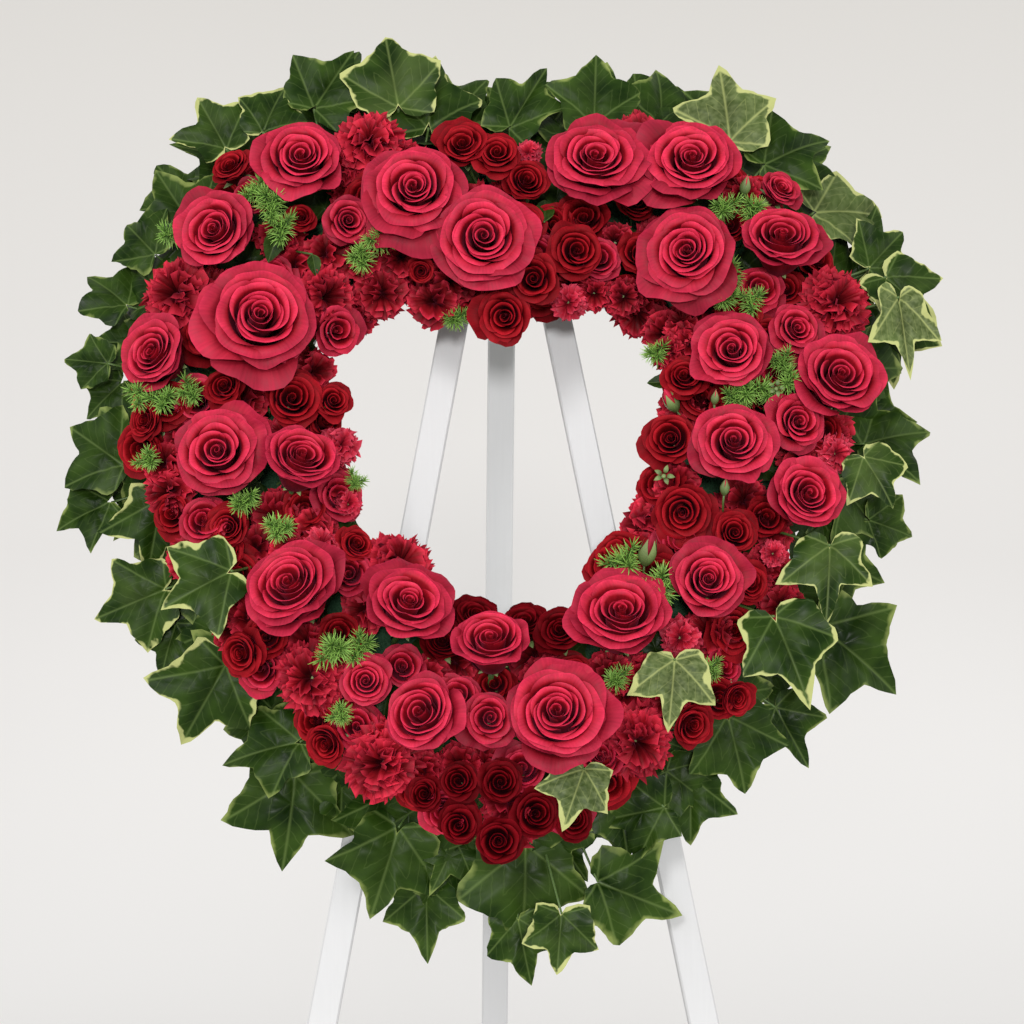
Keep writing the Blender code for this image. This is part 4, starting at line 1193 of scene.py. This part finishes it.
# Outlines of the flowers, across and up, clockwise: round the open middle, and round the outside.
INNER_EDGE = (
    (-34, 156), (-16, 144), (1, 132), (18, 140), (34, 153), (70, 154), (94, 145), (106, 121),
    (112, 100), (106, 80), (102, 58), (102, 38), (84, 14), (79, -7), (58, -27), (50, -50),
    (38, -66), (0, -70), (-25, -65), (-40, -55), (-43, -36), (-56, -22), (-84, -8), (-101, 7),
    (-98, 25), (-103, 51), (-111, 69), (-110, 84), (-116, 102), (-115, 117), (-102, 131), (-84, 148),
    (-62, 160),
)
OUTER_EDGE = (
    (-274, 65), (-272, 117), (-266, 162), (-245, 188), (-224, 222), (-207, 262), (-178, 272), (-153, 295),
    (-117, 305), (-73, 302), (-44, 286), (0, 284), (32, 290), (65, 300), (108, 305), (144, 291),
    (180, 270), (208, 257), (222, 230), (249, 200), (272, 166), (263, 132), (274, 88), (256, 51),
    (250, 29), (235, 0), (206, -25), (198, -50), (180, -75), (172, -100), (164, -138), (139, -166),
    (118, -178), (104, -196), (63, -208), (48, -226), (0, -244), (-40, -231), (-74, -206), (-115, -194),
    (-135, -170), (-160, -135), (-201, -107), (-212, -79), (-237, -50), (-248, -7), (-256, 22), (-272, 44),
)


def walk(outline, step):
    """Points every step along a closed outline, each with the direction to its left."""
    left_over = 0.0
    for start, end in zip(outline, outline[1:] + outline[:1]):
        start, run = Vector(start), Vector(end) - Vector(start)
        while left_over < run.length:
            yield start + run * (left_over / run.length), Vector((-run.y, run.x)).normalized()
            left_over += step
        left_over -= run.length


def gap_to(outline, x, y):
    """How far a point is from an outline."""
    near = 1e9
    for start, end in zip(outline, outline[1:] + outline[:1]):
        run = Vector(end) - Vector(start)
        along = max(0.0, min(1.0, (Vector((x, y)) - Vector(start)).dot(run) / run.length_squared))
        near = min(near, (Vector(start) + along * run - Vector((x, y))).length)
    return near


# The rows along the edges: the step along the edge, how far inside it they stand, and how far out.
INNER_ROW, OUTER_ROW = (20.0, 16.0, 84.0), (24.0, 17.0, 80.0)
FRONT = Vector((0.0, 0.0))  # the lean of a bloom that faces straight out

# In between: the gap between the places tried, how far out they stand, how far they may be from the ring's
# middle line, and how far they keep from both edges.
BED_GAP, BED_OUT, BED_REACH, BED_MARGIN = 25.0, 92.0, 74.0, 24.0
BED_RADIUS = 11.0  # the room that one of these blooms takes up
LOW_SPOTS = (  # under tilted roses
    (20, -97), (-8, -120), (-34, -100), (-30, -128), (205, 170),
    (-140, 6), (-168, -85), (-50, 163), (190, -32), (196, -60),
)
TOP_OF_OPENING = 118.0  # above this, a second row further back hides the tray's inner wall


def bed_spots(rng):
    """Free places along both edges, then in between. Yields across, up, out and lean."""
    taken = list(BLOOMS)

    def is_free(x, y, overlap):
        if all(math.hypot(x - bx, y - by) > r - overlap for bx, by, r in taken):
            taken.append((x, y, BED_RADIUS))
            return True
        return False

    step, inside, out = INNER_ROW
    for x, y in LOW_SPOTS:
        yield x, y, out, FRONT
    for point, left in walk(INNER_EDGE, step):
        spot = point + left * inside
        if is_free(spot.x, spot.y, 5.0):
            yield spot.x, spot.y, out, -0.5 * left
        if point.y > TOP_OF_OPENING:
            yield point.x, point.y + 24.0, 62.0, Vector((0.0, -0.9))
    step, inside, out = OUTER_ROW
    for point, left in walk(OUTER_EDGE, step):
        spot = point - left * inside
        if is_free(spot.x, spot.y, 5.0):
            yield spot.x, spot.y, out, 0.5 * left
    for i in range(-12, 13):
        for j in range(-11, 14):
            x = (i + 0.5 * (j % 2)) * BED_GAP + rng.uniform(-5, 5)
            y = j * 0.87 * BED_GAP + 20.0 + rng.uniform(-5, 5)
            middle = heart_middle(nearest_share(x, y))
            in_band = math.hypot(x - middle.x, y - middle.y) < BED_REACH
            in_band = in_band and min(gap_to(edge, x, y) for edge in (INNER_EDGE, OUTER_EDGE)) > BED_MARGIN
            if in_band and is_free(x, y, 3.0):
                yield x, y, BED_OUT, FRONT


def bed_blooms():
    """Carnations and small dark roses pushed in low between the others, so that no foam is seen."""
    rng = np.random.default_rng(1000)
    for number, (across, up, out, lean) in enumerate(list(bed_spots(rng))):
        right, lift = (part + rng.uniform(-0.15, 0.15) for part in lean)
        facing = heart_direction(right, lift, 1.0)
        top = place(across, up, out + rng.uniform(-3, 3))
        sheets = Sheets()
        if rng.uniform() < 0.45:
            size, height, slot = rng.uniform(34, 42) * MM, ROSE_TOP, "spray_rose_petal"
            rose_head(sheets, rng, size * 1.12, petals=14, detail=0.55, bud=rng.uniform(0.0, 0.4))
            material = ROSE if rng.uniform() < 0.4 else DARK_ROSE
        else:
            size, height, slot = rng.uniform(36, 44) * MM, CARNATION_TOP, "carnation_petal"
            carnation_head(sheets, rng, size * 1.12, petals=26, teeth=5, rows=4)
            material = CARNATION
        base = top - height * size * facing
        sheets.move(any_matrix(base, facing))
        small_stem(sheets, base, facing, across, up, 1.2)
        sheets.piece(f"bed_bloom_{number + 1:03d}", (material, SEPAL, STEM), slot)


# Dark leaves: offset from the ring's middle line, height out, lean outwards, how many, and their length.
LEAF_ROWS = (
    (-30, 62, -0.4, 30, 36),
    (0, 66, 0.0, 34, 38),
    (30, 62, 0.4, 34, 38),
    (50, 50, 1.2, 46, 48),
    (60, 40, 0.5, 42, 54),
    (72, 28, 0.3, 36, 48),
)


def filler_leaves():
    """Dark leaves under the blooms and round the ring's flank, which hide the foam and back the ivy."""
    rng = np.random.default_rng(900)
    for number, (offset, out, lean, count, length) in enumerate(LEAF_ROWS):
        sheets = Sheets()
        for k in range(count):
            share = (k + rng.uniform(-0.3, 0.3) + 0.5 * (number % 2)) / count
            spot, outwards = heart_beside(share, offset + rng.uniform(-5, 5))
            sideways = outwards * lean + Vector(rng.uniform(-0.25, 0.25, 2))
            turn = rng.uniform(-0.8, 0.8)
            heading = Matrix.Rotation(turn, 2) @ outwards * (1.0 if offset >= 0 else -1.0)
            base = place(*spot, out + rng.uniform(-5, 5))
            matrix = frame_matrix(base, heart_direction(*heading, -0.15), heart_direction(*sideways, 1.0))
            leaf_length = length * rng.uniform(0.85, 1.15) * MM
            add_leaf(sheets, rng, leaf_length, rng.uniform(0, 0.15), matrix, steps=3, rings=4)
            middle = heart_middle(share)
            root = place(*(middle + 0.8 * (spot - middle)), 44)
            add_tube(sheets, [root, base], 1.0 * MM, 0.2, 1, 4)
        material = IVY if offset >= 60 else GREENERY
        sheets.piece(f"filler_leaves_{number + 1}", (material, STEM), "ivy_leaf")


# ---- the CAD's own parts


def dress_cad_nodes():
    wood, zinc = painted_wood(), zinc_steel()
    looks = {
        "heart_tray": tray_plastic(),
        "heart_foam": wet_foam(),
        "hanger_wire": green_enamel(),
        "hanging_hook": zinc,
    }
    for name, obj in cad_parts.items():
        if name.startswith(("leg_", "header_", "cross_")):
            material = wood
        elif name.startswith(("hinge_", "screw_")):
            material = zinc
        else:
            material = looks.get(name)
        if material:
            obj.data.materials.clear()
            obj.data.materials.append(material)


# ---- camera, light and floor

VIEW_MIDDLE = (5.0, -1.4, 105.0)  # across, up and out: the middle of the picture, between the flowers' faces
VIEW_DISTANCE = 2.0
VIEW_AZIMUTH = math.radians(-2.5)
VIEW_WIDTH = 0.717  # the picture is this wide at the flowers
SENSOR_WIDTH = 36.0


def make_camera():
    target = place(*VIEW_MIDDLE)
    camera = bpy.data.objects.new("camera", bpy.data.cameras.new("camera"))
    bpy.context.scene.collection.objects.link(camera)
    bpy.context.scene.camera = camera
    away = Vector((math.sin(VIEW_AZIMUTH), -math.cos(VIEW_AZIMUTH), 0.0))
    camera.location = target + away * VIEW_DISTANCE
    camera.rotation_euler = (-away).to_track_quat("-Z", "Y").to_euler()
    camera.data.sensor_width = SENSOR_WIDTH
    camera.data.lens = SENSOR_WIDTH * VIEW_DISTANCE / VIEW_WIDTH
    camera.data.clip_end = 100.0


def make_sun(name, heading, power, softness):
    """A far, soft lamp that shines along heading."""
    light = bpy.data.lights.new(name, "SUN")
    light.energy = power
    light.angle = math.radians(softness)
    obj = bpy.data.objects.new(name, light)
    obj.rotation_euler = Vector(heading).to_track_quat("-Z", "Y").to_euler()
    bpy.context.scene.collection.objects.link(obj)


FLOOR_RADIUS, WALL_RADIUS, WALL_HEIGHT = 2.6, 8.0, 7.0  # the floor is flat as far as the first of these


def make_floor():
    """A pale floor that curves up into a wall all round."""
    bend = np.linspace(0.0, math.pi / 2, 16)
    curve = WALL_RADIUS - FLOOR_RADIUS
    radii = np.array([0.0, 1.0, 2.0, *(FLOOR_RADIUS + curve * np.sin(bend)), WALL_RADIUS])
    heights = np.array([0.0, 0.0, 0.0, *(curve * (1 - np.cos(bend))), WALL_HEIGHT])
    turns, z = np.meshgrid(np.linspace(0, 2 * math.pi, 96, endpoint=False), heights)
    sheets = Sheets()
    sheets.add(round_z(radii[:, None], turns, z), turns, z, 0.0, close=True)
    floor = sheets.build("floor", (pale_floor(),))
    floor.visible_shadow = False
    floor.visible_diffuse = False


def make_studio():
    scene = bpy.context.scene
    scene.view_settings.view_transform = "Standard"
    world = bpy.data.worlds.new("studio")
    scene.world = world
    world.use_nodes = True
    background = world.node_tree.nodes["Background"]
    background.inputs["Color"].default_value = (1.0, 0.99, 0.975, 1.0)
    background.inputs["Strength"].default_value = 0.5
    make_sun("key", (0.4, 1.0, -0.55), 0.85, 16.0)
    make_sun("front", (0.03, 1.0, -0.08), 1.25, 7.0)
    make_sun("left", (1.0, 0.42, -0.3), 0.5, 25.0)
    make_sun("right", (-1.0, 0.42, -0.3), 0.65, 25.0)


make_camera()
make_studio()
make_floor()
dress_cad_nodes()
large_roses()
large_carnations()
spray_roses()
ivy_vines()
small_roses()
small_carnations()
buds_and_small_leaves()
ferns()
top_leaves()
bed_blooms()
filler_leaves()
